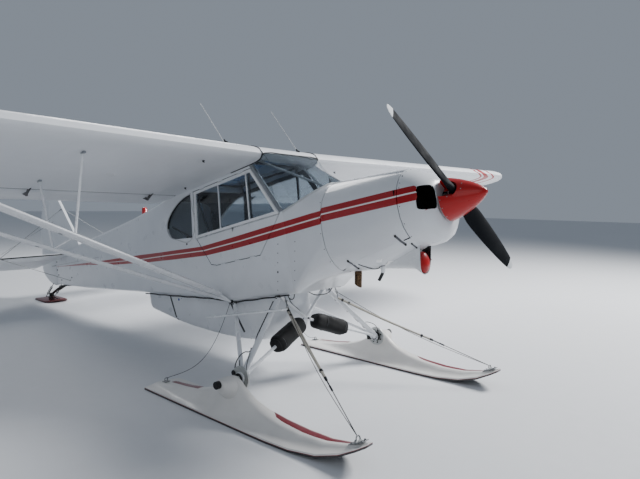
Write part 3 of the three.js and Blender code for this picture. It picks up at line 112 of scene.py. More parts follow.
class Slot(Enum):
    """Material slots of the record."""

    WHITE = "white_paint"
    RED = "red_paint"
    PROPELLER = "propeller_black"
    GLASS = "clear_plastic"
    TRIM = "dark_trim"
    CLOTH = "seat_cloth"
    STEEL = "steel"
    ENGINE = "engine_metal"
    EXHAUST = "exhaust_metal"
    COVER = "cover_black"
    SKI = "ski_white"
    TAIL_SKI = "tail_ski_red"
    SPRING = "spring_steel"


# Finishes


def linear(code: str) -> Colour:
    """Turns an sRGB hex colour into a linear one.

    Args:
        code: colour as six hex digits.

    Returns:
        Linear red, green, blue and an alpha of 1.
    """
    parts = [int(code[i : i + 2], 16) / 255 for i in (0, 2, 4)]
    return tuple(c / 12.92 if c <= 0.04045 else ((c + 0.055) / 1.055) ** 2.4 for c in parts) + (1.0,)


def add_node(
    tree: bpy.types.NodeTree, kind: str, inputs: dict | None = None, **settings: object
) -> bpy.types.Node:
    """Adds one node, sets it and joins what feeds it.

    Args:
        tree: node tree of the material.
        kind: Blender's name of the node.
        inputs: input names or numbers, each with a value or an output socket.
        settings: the node's own settings.

    Returns:
        The new node.
    """
    node = tree.nodes.new(kind)
    for key, value in settings.items():
        setattr(node, key, value)
    for key, value in (inputs or {}).items():
        if isinstance(value, Socket):
            tree.links.new(value, node.inputs[key])
        else:
            node.inputs[key].default_value = value
    return node


@dataclass
class Sheet:
    """A material's node tree while it is filled in, with the places its patterns read."""

    name: str
    material: bpy.types.Material = field(init=False)
    tree: bpy.types.NodeTree = field(init=False)

    def __post_init__(self) -> None:
        """Starts an empty tree with the object's own coordinates."""
        self.material = bpy.data.materials.new(self.name)
        self.material.use_nodes = True
        self.tree = self.material.node_tree
        self.tree.nodes.clear()
        self.coordinates = self.add("ShaderNodeTexCoord")
        self.position = self.coordinates.outputs["Object"]

    def add(self, kind: str, inputs: dict | None = None, **settings: object) -> bpy.types.Node:
        """Adds a node to this sheet."""
        return add_node(self.tree, kind, inputs, **settings)

    def airframe(self) -> tuple[Socket, Socket, Socket]:
        """Gives x, y and z in airframe stations, in metres."""
        turned = self.add(
            "ShaderNodeMapping",
            {"Vector": self.position, "Location": (SHIFT_X, 0, EDGE_HEIGHT), "Rotation": (0, -PITCH, 0)},
            vector_type="TEXTURE",
        )
        axes = self.add("ShaderNodeSeparateXYZ", {0: turned.outputs[0]})
        return axes.outputs[0], axes.outputs[1], axes.outputs[2]

    def math(self, operation: str, a: object, b: object = 0.0) -> Socket:
        """Works out one value from two."""
        return self.add("ShaderNodeMath", {0: a, 1: b}, operation=operation).outputs[0]

    def step(self, value: object, edge: float, softness: float = 0.0006) -> Socket:
        """Gives 0 below an edge and 1 above it, with a soft change between."""
        low, high = edge - softness, edge + softness
        return self.add("ShaderNodeMapRange", {0: value, 1: low, 2: high, 3: 0.0, 4: 1.0}).outputs[0]

    def line(self, x: Socket, points: Sequence[Pair]) -> Socket:
        """Follows a drawn line: the height that belongs to each x.

        Args:
            x: place along the line, in metres.
            points: x and height of each bend, from low to high x.

        Returns:
            Socket with the line's height at x.
        """
        low_x, high_x = points[0][0], points[-1][0]
        heights = [p[1] for p in points]
        low, high = min(heights), max(heights) + 1e-6
        share = self.add("ShaderNodeMapRange", {0: x, 1: low_x, 2: high_x, 3: 0.0, 4: 1.0})
        curve = self.add("ShaderNodeFloatCurve", {1: share.outputs[0]})
        track = curve.mapping.curves[0].points
        for index, (place, height) in enumerate(points):
            spot = ((place - low_x) / (high_x - low_x), (height - low) / (high - low))
            if index < 2:
                track[index].location = spot
            else:
                track.new(*spot)
        for knot in track:
            knot.handle_type = "VECTOR"
        curve.mapping.update()
        return self.add(
            "ShaderNodeMapRange", {0: curve.outputs[0], 1: 0.0, 2: 1.0, 3: low, 4: high}
        ).outputs[0]

    def blend(self, share: object, first: object, second: object) -> Socket:
        """Mixes two colours by a share."""
        return self.add("ShaderNodeMix", {0: share, 6: first, 7: second}, data_type="RGBA").outputs[2]

    def inside(self, middle_z: float) -> Socket:
        """Gives 1 on faces that look in at the fuselage's middle line and 0 on the outer ones.

        Args:
            middle_z: airframe height of the middle line, in metres.

        Returns:
            Socket with 0 or 1.
        """
        _, y, z = self.airframe()
        normal = self.add(
            "ShaderNodeMapping",
            {"Vector": self.coordinates.outputs["Normal"], "Rotation": (0, PITCH, 0)},
            vector_type="VECTOR",
        )
        facing = self.add("ShaderNodeSeparateXYZ", {0: normal.outputs[0]})
        across = self.math("MULTIPLY", facing.outputs[1], y)
        upward = self.math("MULTIPLY", facing.outputs[2], self.math("SUBTRACT", z, middle_z))
        return self.step(self.math("MULTIPLY", self.math("ADD", across, upward), -1.0), 0.004, 0.004)


_MADE: dict[object, bpy.types.Material] = {}
GRIME: Colour = (0.02, 0.02, 0.022, 1)


@dataclass(frozen=True)
class Finish:
    """One real material with its colour, gloss and surface grain."""

    name: str
    colour: str
    roughness: float
    metallic: float = 0.0
    ior: float = 1.5
    coat: float = 0.0
    coat_roughness: float = 0.04
    grain_mm: float = 3.0
    grain_height_mm: float = 0.02
    mottle: float = 0.05
    mottle_mm: float = 180.0

    def pattern(self, sheet: Sheet) -> Socket:
        """Gives the colour: the base one, a little darker in soft clouds.

        Args:
            sheet: the material being made.

        Returns:
            Colour socket.
        """
        clouds = sheet.add(
            "ShaderNodeTexNoise", {"Vector": sheet.position, "Scale": 1000 / self.mottle_mm, "Detail": 4.0}
        )
        share = sheet.add(
            "ShaderNodeMapRange", {0: clouds.outputs[0], 1: 0.35, 2: 0.75, 3: 0.0, 4: self.mottle}
        )
        return sheet.blend(share.outputs[0], linear(self.colour), GRIME)

    def relief(self, sheet: Sheet) -> Socket:
        """Gives the surface height in metres: fine grain from how it was made.

        Args:
            sheet: the material being made.

        Returns:
            Height socket.
        """
        grain = sheet.add(
            "ShaderNodeTexNoise", {"Vector": sheet.position, "Scale": 1000 / self.grain_mm, "Detail": 2.0}
        )
        return sheet.math("MULTIPLY", grain.outputs[0], self.grain_height_mm / 1000)

    def gloss(self, sheet: Sheet) -> Socket:
        """Gives the roughness, a little uneven as on a handled surface.

        Args:
            sheet: the material being made.

        Returns:
            Roughness socket.
        """
        wear = sheet.add("ShaderNodeTexNoise", {"Vector": sheet.position, "Scale": 9.0, "Detail": 5.0})
        low, high = self.roughness * 0.85, min(self.roughness * 1.25 + 0.02, 1.0)
        return sheet.add(
            "ShaderNodeMapRange", {0: wear.outputs[0], 1: 0.3, 2: 0.7, 3: low, 4: high}
        ).outputs[0]

    def settle(self, shader: bpy.types.Node) -> None:
        """Sets what is the same all over the surface."""
        shader.inputs["Metallic"].default_value = self.metallic
        if self.metallic < 0.5:
            shader.inputs["IOR"].default_value = self.ior
        shader.inputs["Coat Weight"].default_value = self.coat
        shader.inputs["Coat Roughness"].default_value = self.coat_roughness

    def material(self) -> bpy.types.Material:
        """Makes the material once and keeps it.

        Returns:
            The Blender material.
        """
        if self in _MADE:
            return _MADE[self]
        sheet = Sheet(self.name)
        bump = sheet.add("ShaderNodeBump", {"Height": self.relief(sheet), "Distance": 1.0, "Strength": 1.0})
        shader = sheet.add(
            "ShaderNodeBsdfPrincipled",
            {"Base Color": self.pattern(sheet), "Roughness": self.gloss(sheet), "Normal": bump.outputs[0]},
        )
        self.settle(shader)
        sheet.add("ShaderNodeOutputMaterial", {0: shader.outputs[0]})
        _MADE[self] = sheet.material
        return sheet.material


STRIPE_RED = "A00711"
PIN_WHITE = "E6E2E2"
# The stripe's upper edge, lower edge and pinstripe behind the cowl, as x and z in metres.
FUSELAGE_TOP = (
    (-5.40, -0.312), (-4.716, -0.366), (-3.637, -0.448), (-2.99, -0.493), (-2.427, -0.529), (-1.707, -0.585),
    (-0.984, -0.633), (-0.487, -0.620), (-0.032, -0.604), (0.313, -0.594), (0.523, -0.585),
)
FUSELAGE_BOTTOM = (
    (-5.40, -0.316), (-4.716, -0.371), (-3.646, -0.477), (-3.01, -0.557), (-2.036, -0.648), (-1.438, -0.693),
    (-0.925, -0.726), (-0.509, -0.724), (-0.054, -0.711), (0.292, -0.697), (0.503, -0.689),
)
FUSELAGE_PIN = (
    (-5.40, -0.314), (-4.716, -0.3685), (-3.64, -0.4625), (-3.0, -0.525), (-2.185, -0.597), (-1.482, -0.641),
    (-0.952, -0.676), (-0.428, -0.668), (-0.043, -0.655), (0.508, -0.636),
)
# Heights of the same three lines on the cowl, where they run level.
COWL_LINES = (-0.566, -0.672, -0.616)


@dataclass(frozen=True)
class StripedEnamel(Finish):
    """White aircraft enamel with the double red side stripe and its white pinstripe, with dark painted shade
    on its inner faces.
    """

    # Dark colour of the inner faces, which is painted shade, and the height of the middle line they face.
    inner_shade: str = "55585C"
    inner_middle_z: float = -0.55
    thread_mm: float = 0.0
    seam_x: float = 0.5095
    bowl_x: float = 1.17
    inlet_half: float = 0.235
    belly_z: float = -1.06

    def pattern(self, sheet: Sheet) -> Socket:
        """Paints the stripes over the white and gives the inner faces a dark colour that is painted shade.

        Args:
            sheet: the material being made.

        Returns:
            Colour socket.
        """
        white = Finish.pattern(self, sheet)
        x, y, z = sheet.airframe()
        forward = sheet.step(x, self.seam_x, 0.0004)
        edges = []
        for points, cowl_z in zip((FUSELAGE_TOP, FUSELAGE_BOTTOM, FUSELAGE_PIN), COWL_LINES):
            rear = sheet.line(x, points)
            edges.append(
                sheet.add("ShaderNodeMix", {0: forward, 2: rear, 3: cowl_z}, data_type="FLOAT").outputs[0]
            )
        top, bottom, pin = edges
        under_top = sheet.step(sheet.math("SUBTRACT", top, z), 0.0)
        over_bottom = sheet.step(sheet.math("SUBTRACT", z, bottom), 0.0)
        width = sheet.math("MULTIPLY", sheet.math("SUBTRACT", top, bottom), 0.052)
        from_pin = sheet.math("ABSOLUTE", sheet.math("SUBTRACT", z, pin))
        off_pin = sheet.step(sheet.math("SUBTRACT", from_pin, width), 0.0)
        on_side = sheet.step(sheet.math("ABSOLUTE", y), 0.012, 0.001)
        past_inlet = sheet.step(sheet.math("ABSOLUTE", y), self.inlet_half, 0.001)
        behind_bowl = sheet.math("SUBTRACT", 1.0, sheet.step(x, self.bowl_x))
        shown = sheet.math("MULTIPLY", on_side, sheet.math("MAXIMUM", past_inlet, behind_bowl))
        band = sheet.math("MULTIPLY", sheet.math("MULTIPLY", under_top, over_bottom), shown)
        fade = sheet.add("ShaderNodeTexNoise", {"Vector": sheet.position, "Scale": 14.0, "Detail": 3.0})
        red = sheet.blend(sheet.math("MULTIPLY", fade.outputs[0], 0.3), linear(STRIPE_RED), linear("7C0D18"))
        stripe = sheet.blend(off_pin, linear(PIN_WHITE), red)
        painted = sheet.blend(band, white, stripe)
        dust = sheet.add("ShaderNodeTexNoise", {"Vector": sheet.position, "Scale": 6.0, "Detail": 6.0})
        low = sheet.math("SUBTRACT", 1.0, sheet.step(z, self.belly_z, 0.1))
        dirt = sheet.math("MULTIPLY", low, sheet.math("MULTIPLY", dust.outputs[0], 0.35))
        soiled = sheet.blend(dirt, painted, linear("8C8A86"))
        # The inner faces take the dark colour as painted shade.
        return sheet.blend(sheet.inside(self.inner_middle_z), soiled, linear(self.inner_shade))

    def relief(self, sheet: Sheet) -> Socket:
        """Adds the cloth's thread, drawn four times as coarse as it is so that it shows at all.

        Args:
            sheet: the material being made.

        Returns:
            Height socket.
        """
        base = Finish.relief(self, sheet)
        if self.thread_mm <= 0:
            return base
        x, _, z = sheet.airframe()
        pitch = self.thread_mm / 1000
        threads = sheet.math("ADD", sheet.math("PINGPONG", x, pitch), sheet.math("PINGPONG", z, pitch))
        return sheet.math("ADD", base, sheet.math("MULTIPLY", threads, 0.03))


@dataclass(frozen=True)
class RibbedFabric(Finish):
    """Doped polyester over ribs: taut between them, with a finishing tape on each rib."""

    rib_mm: float = 305.0
    tape_mm: float = 50.0
    sag_mm: float = 1.6
    tip_bands: bool = False
    dark_brackets: bool = False
    band_lean: float = 3.2
    bands: tuple[Pair, ...] = ((4.019, 4.085), (4.152, 4.310), (4.465, 4.535))
    gap_x: float = -1.269
    gap_half: float = 0.013
    root_half: float = 0.36
    front_x: float = -0.26

    def rib_place(self, sheet: Sheet) -> Socket:
        """Gives the distance to the nearest rib along the span, in metres."""
        _, y, _ = sheet.airframe()
        return sheet.math("PINGPONG", y, self.rib_mm / 2000)

    def relief(self, sheet: Sheet) -> Socket:
        """Lets the fabric sag between ribs and lifts the tapes by their own thickness.

        Args:
            sheet: the material being made.

        Returns:
            Height socket.
        """
        x, _, _ = sheet.airframe()
        place = self.rib_place(sheet)
        behind_nose = sheet.math("SUBTRACT", 1.0, sheet.step(x, self.front_x, 0.03))
        sag = sheet.math(
            "MULTIPLY", sheet.math("MULTIPLY", place, behind_nose), -2 * self.sag_mm / self.rib_mm
        )
        tape_and_highlight = sheet.math("SUBTRACT", 1.0, sheet.step(place, self.tape_mm / 2000, 0.0015))
        lifted = sheet.math("MULTIPLY", tape_and_highlight, 0.00035)
        return sheet.math("ADD", Finish.relief(self, sheet), sheet.math("ADD", sag, lifted))

    def pattern(self, sheet: Sheet) -> Socket:
        """Adds the three red bands round each wing's end, the dark brackets under it and a dark line of
        painted shade at the flap gap.

        Args:
            sheet: the material being made.

        Returns:
            Colour socket.
        """
        colour = Finish.pattern(self, sheet)
        x, y, z = sheet.airframe()
        span = sheet.math("ABSOLUTE", y)
        lift = sheet.math("MULTIPLY", sheet.math("SUBTRACT", span, WING_ROOT_Y / 1000), WING_RISE)
        skin = sheet.math("ADD", sheet.math("MULTIPLY", x, WING_INCIDENCE), WING_SKIN_Z / 1000)
        height = sheet.math("SUBTRACT", z, sheet.math("ADD", skin, lift))
        if self.tip_bands:
            bounded = sheet.math("MINIMUM", sheet.math("MAXIMUM", height, 0.0), 0.08)
            swept = sheet.math("ADD", span, sheet.math("MULTIPLY", bounded, self.band_lean))
            for low, high in self.bands:
                below_high = sheet.math("SUBTRACT", 1.0, sheet.step(swept, high, 0.001))
                band = sheet.math("MULTIPLY", sheet.step(swept, low, 0.001), below_high)
                colour = sheet.blend(band, colour, linear(STRIPE_RED))
        if self.dark_brackets:
            colour = sheet.blend(sheet.step(height, -0.004, 0.0005), linear("2A2B2D"), colour)
            # A dark band on the underside along the flap gap: painted shade of the gap.
            off_gap = sheet.step(
                sheet.math("ABSOLUTE", sheet.math("SUBTRACT", x, self.gap_x)), self.gap_half, 0.0006
            )
            outboard = sheet.step(span, self.root_half, 0.001)
            topside = sheet.math("MULTIPLY", outboard, sheet.step(height, 0.04, 0.001))
            underside = sheet.math("SUBTRACT", outboard, topside)
            gap_shade = sheet.math("MULTIPLY", sheet.math("SUBTRACT", 1.0, off_gap), underside)
            colour = sheet.blend(gap_shade, colour, linear("232426"))
        return colour


@dataclass(frozen=True)
class BladePaint(Finish):
    """Matt charcoal blade paint, scuffed paler towards the tips, with white tips as a warning to the eye."""

    axis_z: float = -0.684
    tip_radius: float = 0.842

    def pattern(self, sheet: Sheet) -> Socket:
        """Paints the tips white and scuffs the charcoal near them.

        Args:
            sheet: the material being made.

        Returns:
            Colour socket.
        """
        base = Finish.pattern(self, sheet)
        _, y, z = sheet.airframe()
        height = sheet.math("SUBTRACT", z, self.axis_z)
        squares = sheet.math("ADD", sheet.math("MULTIPLY", y, y), sheet.math("MULTIPLY", height, height))
        radius = sheet.math("SQRT", squares)
        grit = sheet.add("ShaderNodeTexNoise", {"Vector": sheet.position, "Scale": 60.0, "Detail": 3.0})
        chipped = sheet.math(
            "MULTIPLY", sheet.step(grit.outputs[0], 0.66, 0.02), sheet.step(radius, 0.5, 0.3)
        )
        worn = sheet.blend(sheet.math("MULTIPLY", chipped, 0.12), base, linear("6E7276"))
        return sheet.blend(sheet.step(radius, self.tip_radius), worn, linear("E4E6E8"))


@dataclass(frozen=True)
class Woven(Finish):
    """Cloth of two thread sets: dull, with a soft fuzz and a small raised thread."""

    thread_mm: float = 2.0
    thread_height_mm: float = 0.25
    second: str = "4A4C50"
    sheen: float = 0.25

    def pattern(self, sheet: Sheet) -> Socket:
        """Lets a second thread colour show between the first ones.

        Args:
            sheet: the material being made.

        Returns:
            Colour socket.
        """
        base = Finish.pattern(self, sheet)
        fuzz = sheet.add(
            "ShaderNodeTexNoise", {"Vector": sheet.position, "Scale": 1000 / self.thread_mm, "Detail": 2.0}
        )
        return sheet.blend(sheet.math("MULTIPLY", fuzz.outputs[0], 0.45), base, linear(self.second))

    def relief(self, sheet: Sheet) -> Socket:
        """Crosses the two thread sets.

        Args:
            sheet: the material being made.

        Returns:
            Height socket.
        """
        axes = sheet.add("ShaderNodeSeparateXYZ", {0: sheet.position})
        pitch = self.thread_mm / 1000
        diagonal = sheet.math("ADD", axes.outputs[0], axes.outputs[2])
        first = sheet.math("PINGPONG", diagonal, pitch)
        second = sheet.math("PINGPONG", axes.outputs[1], pitch)
        weave = sheet.math(
            "MULTIPLY", sheet.math("ADD", first, second), self.thread_height_mm / self.thread_mm
        )
        return sheet.math("ADD", Finish.relief(self, sheet), weave)

    def settle(self, shader: bpy.types.Node) -> None:
        """Adds the fuzz that catches light at the edges."""
        super().settle(shader)
        shader.inputs["Sheen Weight"].default_value = self.sheen


@dataclass(frozen=True)
class Acrylic(Finish):
    """Cast acrylic window: clear, faintly grey, with fine polishing haze."""

    def settle(self, shader: bpy.types.Node) -> None:
        """Lets light through."""
        super().settle(shader)
        shader.inputs["Transmission Weight"].default_value = 1.0


@dataclass(frozen=True)
class HeatedSteel(Finish):
    """Exhaust steel: bare metal gone brown and straw-coloured with heat, with spots of soot."""

    def pattern(self, sheet: Sheet) -> Socket:
        """Mixes the heat colours in blotches.

        Args:
            sheet: the material being made.

        Returns:
            Colour socket.
        """
        blotch = sheet.add("ShaderNodeTexNoise", {"Vector": sheet.position, "Scale": 45.0, "Detail": 6.0})
        straw = sheet.blend(sheet.step(blotch.outputs[0], 0.52, 0.12), linear(self.colour), linear("7A6248"))
        spots = sheet.add("ShaderNodeTexNoise", {"Vector": sheet.position, "Scale": 120.0, "Detail": 3.0})
        return sheet.blend(sheet.step(spots.outputs[0], 0.6, 0.05), straw, linear("241811"))


@dataclass(frozen=True)
class SkiShell(Finish):
    """White gelcoat over glass cloth, with a black plastic sole, a thin red edge line and red side bands."""

    soles: tuple[Pair, ...] = (
        (-0.565, 0.0), (0.85, 0.0), (1.05, 0.004), (1.25, 0.024), (1.4, 0.066), (1.5, 0.116), (1.556, 0.148),
    )
    band_from: tuple[Pair, ...] = (
        (-0.46, 0.018), (0.0, -0.03), (0.72, 0.05), (0.80, -0.004), (0.9, -0.014), (1.15, -0.02), (1.46, 0.0),
    )
    band_to: tuple[Pair, ...] = (
        (-0.46, 0.085), (0.76, 0.081), (1.05, 0.081), (1.25, 0.071), (1.46, 0.05),
    )
    middle_y: float = 0.938
    edge_line: Pair = (0.0115, 0.015)
    band_foot: float = 0.03
    front_band: Pair = (0.73, 1.455)
    rear_band: Pair = (-0.45, -0.03)

    def pattern(self, sheet: Sheet) -> Socket:
        """Paints sole, edge line and bands over the gelcoat.

        Args:
            sheet: the material being made.

        Returns:
            Colour socket.
        """
        gelcoat = Finish.pattern(self, sheet)
        axes = sheet.add("ShaderNodeSeparateXYZ", {0: sheet.position})
        x = sheet.math("SUBTRACT", axes.outputs[0], SHIFT_X)
        across = sheet.math("SUBTRACT", axes.outputs[1], self.middle_y)
        sole = sheet.line(x, self.soles)
        above = sheet.math("SUBTRACT", axes.outputs[2], sole)
        past_inner = sheet.step(sheet.math("SUBTRACT", across, sheet.line(x, self.band_from)), 0.0)
        past_outer = sheet.step(sheet.math("SUBTRACT", across, sheet.line(x, self.band_to)), 0.0)
        between = sheet.math("SUBTRACT", past_inner, past_outer)
        front, rear = (
            sheet.math("SUBTRACT", sheet.step(x, low), sheet.step(x, high))
            for low, high in (self.front_band, self.rear_band)
        )
        band = sheet.math("MULTIPLY", between, sheet.math("ADD", front, rear))
        banded = sheet.blend(
            sheet.math("MULTIPLY", band, sheet.step(above, self.band_foot)), gelcoat, linear("6E0C1C")
        )
        lined = sheet.blend(
            sheet.math("SUBTRACT", 1.0, sheet.step(above, self.edge_line[1])), banded, linear("7A1420")
        )
        scuff = sheet.add("ShaderNodeTexNoise", {"Vector": sheet.position, "Scale": 30.0, "Detail": 6.0})
        black = sheet.blend(sheet.math("MULTIPLY", scuff.outputs[0], 0.3), linear("1A1B1D"), linear("4A4B4D"))
        return sheet.blend(sheet.math("SUBTRACT", 1.0, sheet.step(above, self.edge_line[0])), lined, black)


# Sprayed enamel on sheet aluminium: a clear soft highlight over a faint orange peel, with dark grey painted
# shade on the inner faces.
COWL_ENAMEL = StripedEnamel(
    "sprayed_enamel_on_aluminium", "DBDEE2", 0.2, coat=0.4, grain_mm=7, grain_height_mm=0.012, mottle=0.04,
    inner_shade="303235", inner_middle_z=-0.69,
)
# The same enamel on the nose bowl, with near-black painted shade on its inner faces so that the inlets read
# as holes.
NOSE_ENAMEL = StripedEnamel(
    "sprayed_enamel_on_spun_aluminium", "DEE1E5", 0.3, ior=1.4, coat=0.1, grain_mm=7, grain_height_mm=0.012,
    mottle=0.04,
    inner_shade="0F1011", inner_middle_z=-0.69,
)
# The same enamel on the welded intake scoop, with dark painted shade on its inner faces.
SCOOP_ENAMEL = StripedEnamel(
    "sprayed_enamel_on_welded_scoop", "E6E9EC", 0.24, coat=0.3, grain_mm=9, grain_height_mm=0.02, mottle=0.07,
    inner_shade="1C1A1A", inner_middle_z=-1.10,
)
# Dope and enamel on fuselage cloth: a broad satin shine with the thread just showing, and dark painted shade
# on the cabin's inner faces.
FABRIC_ENAMEL = StripedEnamel(
    "enamel_on_fuselage_cloth", "E2E5E9", 0.3, coat=0.2, grain_mm=9, grain_height_mm=0.03, mottle=0.06,
    thread_mm=1.6, inner_shade="26282B", inner_middle_z=-0.5,
)
# The same paint on the wings, where ribs and tapes show through as soft lines.
WING_FABRIC = RibbedFabric(
    "enamel_on_wing_cloth", "DEE1E5", 0.34, coat=0.15, grain_mm=9, grain_height_mm=0.004, mottle=0.03,
    tip_bands=True, dark_brackets=True,
)
# The same paint on the thin tail surfaces, with their ribs closer together.
TAIL_FABRIC = RibbedFabric(
    "enamel_on_tail_cloth", "DEE1E5", 0.34, coat=0.15, grain_mm=9, grain_height_mm=0.005, rib_mm=260,
    sag_mm=2.0,
)
# Brushed enamel on drawn steel tube: glossy with small runs.
TUBE_ENAMEL = Finish(
    "enamel_on_steel_tube", "E8EAED", 0.24, coat=0.3, grain_mm=14, grain_height_mm=0.03, mottle=0.07,
    mottle_mm=60,
)
# Gelcoat on laid-up glass cloth: slightly wavy, softly glossy.
POD_GELCOAT = Finish(
    "gelcoat_on_glass_cloth", "DFE2E6", 0.3, coat=0.3, grain_mm=40, grain_height_mm=0.2, mottle=0.08
)
# Two-pack enamel on spun aluminium: deep red with a wet highlight.
SPINNER_RED = Finish(
    "two_pack_red_enamel", "A80003", 0.3, ior=1.4, coat=0.15, coat_roughness=0.08, grain_mm=6,
    grain_height_mm=0.008, mottle=0.1,
)
# Polyurethane paint on forged aluminium blades: almost black, matt, with a soft long sheen.
BLADE = BladePaint(
    "matt_blade_paint", "14171B", 0.85, ior=1.2, grain_mm=5, grain_height_mm=0.01, mottle=0.12, mottle_mm=90
)
# Cast acrylic sheet: clear, with a thin bright reflection.
WINDOW = Acrylic("cast_acrylic", "C9D2D8", 0.03, ior=1.49, grain_mm=60, grain_height_mm=0.01, mottle=0.0)
# Cast acrylic dyed blue: shades the cabin from above.
TINTED = Acrylic("tinted_acrylic", "5D7FA8", 0.04, ior=1.49, grain_mm=60, grain_height_mm=0.01, mottle=0.0)
# Baked wrinkle paint on panel and glareshield: near black, no glare.
WRINKLE = Finish("wrinkle_paint", "1E1F21", 0.7, grain_mm=2.5, grain_height_mm=0.25, mottle=0.2, mottle_mm=40)
# Moulded rubber: dull black, greyer where it is dusty; also the dark painted shade of the pod's edge strip
# and behind the intake dome.
RUBBER_AND_SHADE = Finish(
    "moulded_rubber_and_painted_shade", "17181A", 0.62, ior=1.52, grain_mm=2, grain_height_mm=0.05, mottle=0.25, mottle_mm=30,
)
# Extruded vinyl strip: pale, waxy, slightly soiled.
PALE_SEAL = Finish(
    "extruded_vinyl_seal", "C9CBCD", 0.5, grain_mm=3, grain_height_mm=0.03, mottle=0.15, mottle_mm=40
)
# Near-black painted shade inside the ducts: swallows light, so that the inlets look empty.
SHADE_BLACK = Finish(
    "matt_black_painted_duct_shade", "060607", 0.95, ior=1.1, grain_mm=3, grain_height_mm=0.02, mottle=0.1
)
# Painted highlight: flat bright white with no shine, for two spots of light on the lower cowl.
HIGHLIGHT_WHITE = Finish(
    "flat_white_painted_highlight", "FCFCFB", 0.6, grain_mm=2, grain_height_mm=0.03, mottle=0.06, mottle_mm=20
)
# Extruded aluminium with a brushed face: bright grey with a soft edge to its highlight.
ALUMINIUM = Finish(
    "extruded_aluminium", "A9ADB1", 0.32, metallic=1.0, grain_mm=1.5, grain_height_mm=0.01, mottle=0.2,
    mottle_mm=30,
)
# Zinc-plated steel: cloudy pale grey metal.
ZINC_STEEL = Finish(
    "zinc_plated_steel", "9C9E9F", 0.38, metallic=1.0, grain_mm=1.2, grain_height_mm=0.02, mottle=0.35,
    mottle_mm=12,
)
# Blued and oiled steel: dark metal with a narrow shine.
DARK_STEEL = Finish(
    "blued_steel", "34353A", 0.42, metallic=0.85, grain_mm=1.5, grain_height_mm=0.04, mottle=0.4,
    mottle_mm=15,
)
# Grey plastic-coated straps: dull, darker than the paint round them.
STRAP_GREY = Finish(
    "coated_latch_strap", "5C5D62", 0.55, grain_mm=2, grain_height_mm=0.03, mottle=0.25, mottle_mm=12
)
# Steel under black enamel, chipped a little: black with a dull shine.
BLACK_ENAMEL = Finish(
    "black_enamel_on_steel", "0E0F11", 0.5, ior=1.4, grain_mm=3, grain_height_mm=0.04, mottle=0.2,
    mottle_mm=20
)
# Ground brake-disc steel: pale grey metal with a soft, wide highlight.
DISC_STEEL = Finish(
    "ground_brake_disc", "BDBFBD", 0.4, metallic=0.7, grain_mm=1.5, grain_height_mm=0.02, mottle=0.25,
    mottle_mm=20,
)
# Sand-cast aluminium: dull grey and pitted.
CAST_METAL = Finish(
    "sand_cast_aluminium", "8A8D90", 0.55, metallic=0.9, grain_mm=2.2, grain_height_mm=0.12, mottle=0.25,
    mottle_mm=50,
)
# Rolled stainless sheet: even grey metal.
STAINLESS = Finish(
    "rolled_stainless_sheet", "A7A8A6", 0.35, metallic=1.0, grain_mm=3, grain_height_mm=0.02, mottle=0.2,
    mottle_mm=80,
)
# Mild steel exhaust tube: dark brown metal where it runs hot, with straw blotches and soot.
EXHAUST = HeatedSteel("heat_stained_steel", "4A3B30", 0.38, metallic=1.0, grain_mm=2, grain_height_mm=0.04)
# Woven tweed on the seats: dull and dark, soft at the edges.
SEAT_CLOTH = Woven("seat_tweed", "26282C", 0.9, thread_mm=2.4, mottle=0.2, mottle_mm=90, second="3E3B3B")
# Coated nylon on the shock covers: black with a faint sheen on its folds.
COVER_CLOTH = Woven(
    "coated_nylon_cover", "0A0B0C", 0.7, ior=1.35, thread_mm=3.0, thread_height_mm=0.15, mottle=0.2,
    mottle_mm=60,
    second="151618", sheen=0.04,
)
# Nylon webbing: dark grey with raised threads.
WEBBING = Woven(
    "nylon_webbing", "3A3C40", 0.75, thread_mm=2.2, thread_height_mm=0.3, mottle=0.25, mottle_mm=25,
    second="1F2022",
)
# Braided cotton over rubber strands: grey-tan and rough.
BUNGEE = Woven(
    "braided_bungee_sleeve", "B4AEA1", 0.8, thread_mm=3.0, thread_height_mm=0.5, mottle=0.2, mottle_mm=20,
    second="85817A",
)
# Stranded steel cable, oily: dark grey with small bright strands.
WIRE_ROPE = Finish(
    "stranded_steel_cable", "404142", 0.45, metallic=0.8, grain_mm=1.2, grain_height_mm=0.2, mottle=0.4,
    mottle_mm=6,
)
# Quenched spring leaves, painted black and chipped: uneven dark grey.
SPRING_LEAF = Finish(
    "black_spring_steel", "2A2929", 0.48, metallic=0.6, grain_mm=3, grain_height_mm=0.08, mottle=0.5,
    mottle_mm=25,
)
# Gelcoat on the ski shells: off-white, a little scuffed, with its sole and bands.
SKI_LEFT = SkiShell(
    "ski_gelcoat_left", "DEDCD8", 0.34, coat=0.2, grain_mm=20, grain_height_mm=0.12, mottle=0.12,
    middle_y=0.938,
)
SKI_RIGHT = SkiShell(
    "ski_gelcoat_right", "DEDCD8", 0.34, coat=0.2, grain_mm=20, grain_height_mm=0.12, mottle=0.12,
    middle_y=-0.938,
)
# Old red enamel on the tail ski: dark, chipped through to black.
TAIL_SKI_PAINT = Finish(
    "chipped_red_enamel", "5A1118", 0.4, coat=0.2, grain_mm=8, grain_height_mm=0.1, mottle=0.55, mottle_mm=30,
)
# Moulded red lens: saturated and shiny.
BEACON_LENS = Finish(
    "moulded_red_lens", "B80F18", 0.12, coat=0.6, grain_mm=8, grain_height_mm=0.02, mottle=0.1
)
# Moulded clear lens: bright, almost colourless.
LAMP_LENS = Acrylic(
    "moulded_clear_lens", "E8E8E4", 0.08, ior=1.49, grain_mm=8, grain_height_mm=0.02, mottle=0.0
)
# Matt ink on the dial faces: black without glare.
DIAL_FACE = Finish("matt_dial_print", "0E0F10", 0.6, grain_mm=4, grain_height_mm=0.01, mottle=0.05)
# Screen-printed marks: flat warm white.
DIAL_MARK = Finish("screen_printed_white", "E8E8E2", 0.6, grain_mm=4, grain_height_mm=0.01, mottle=0.03)
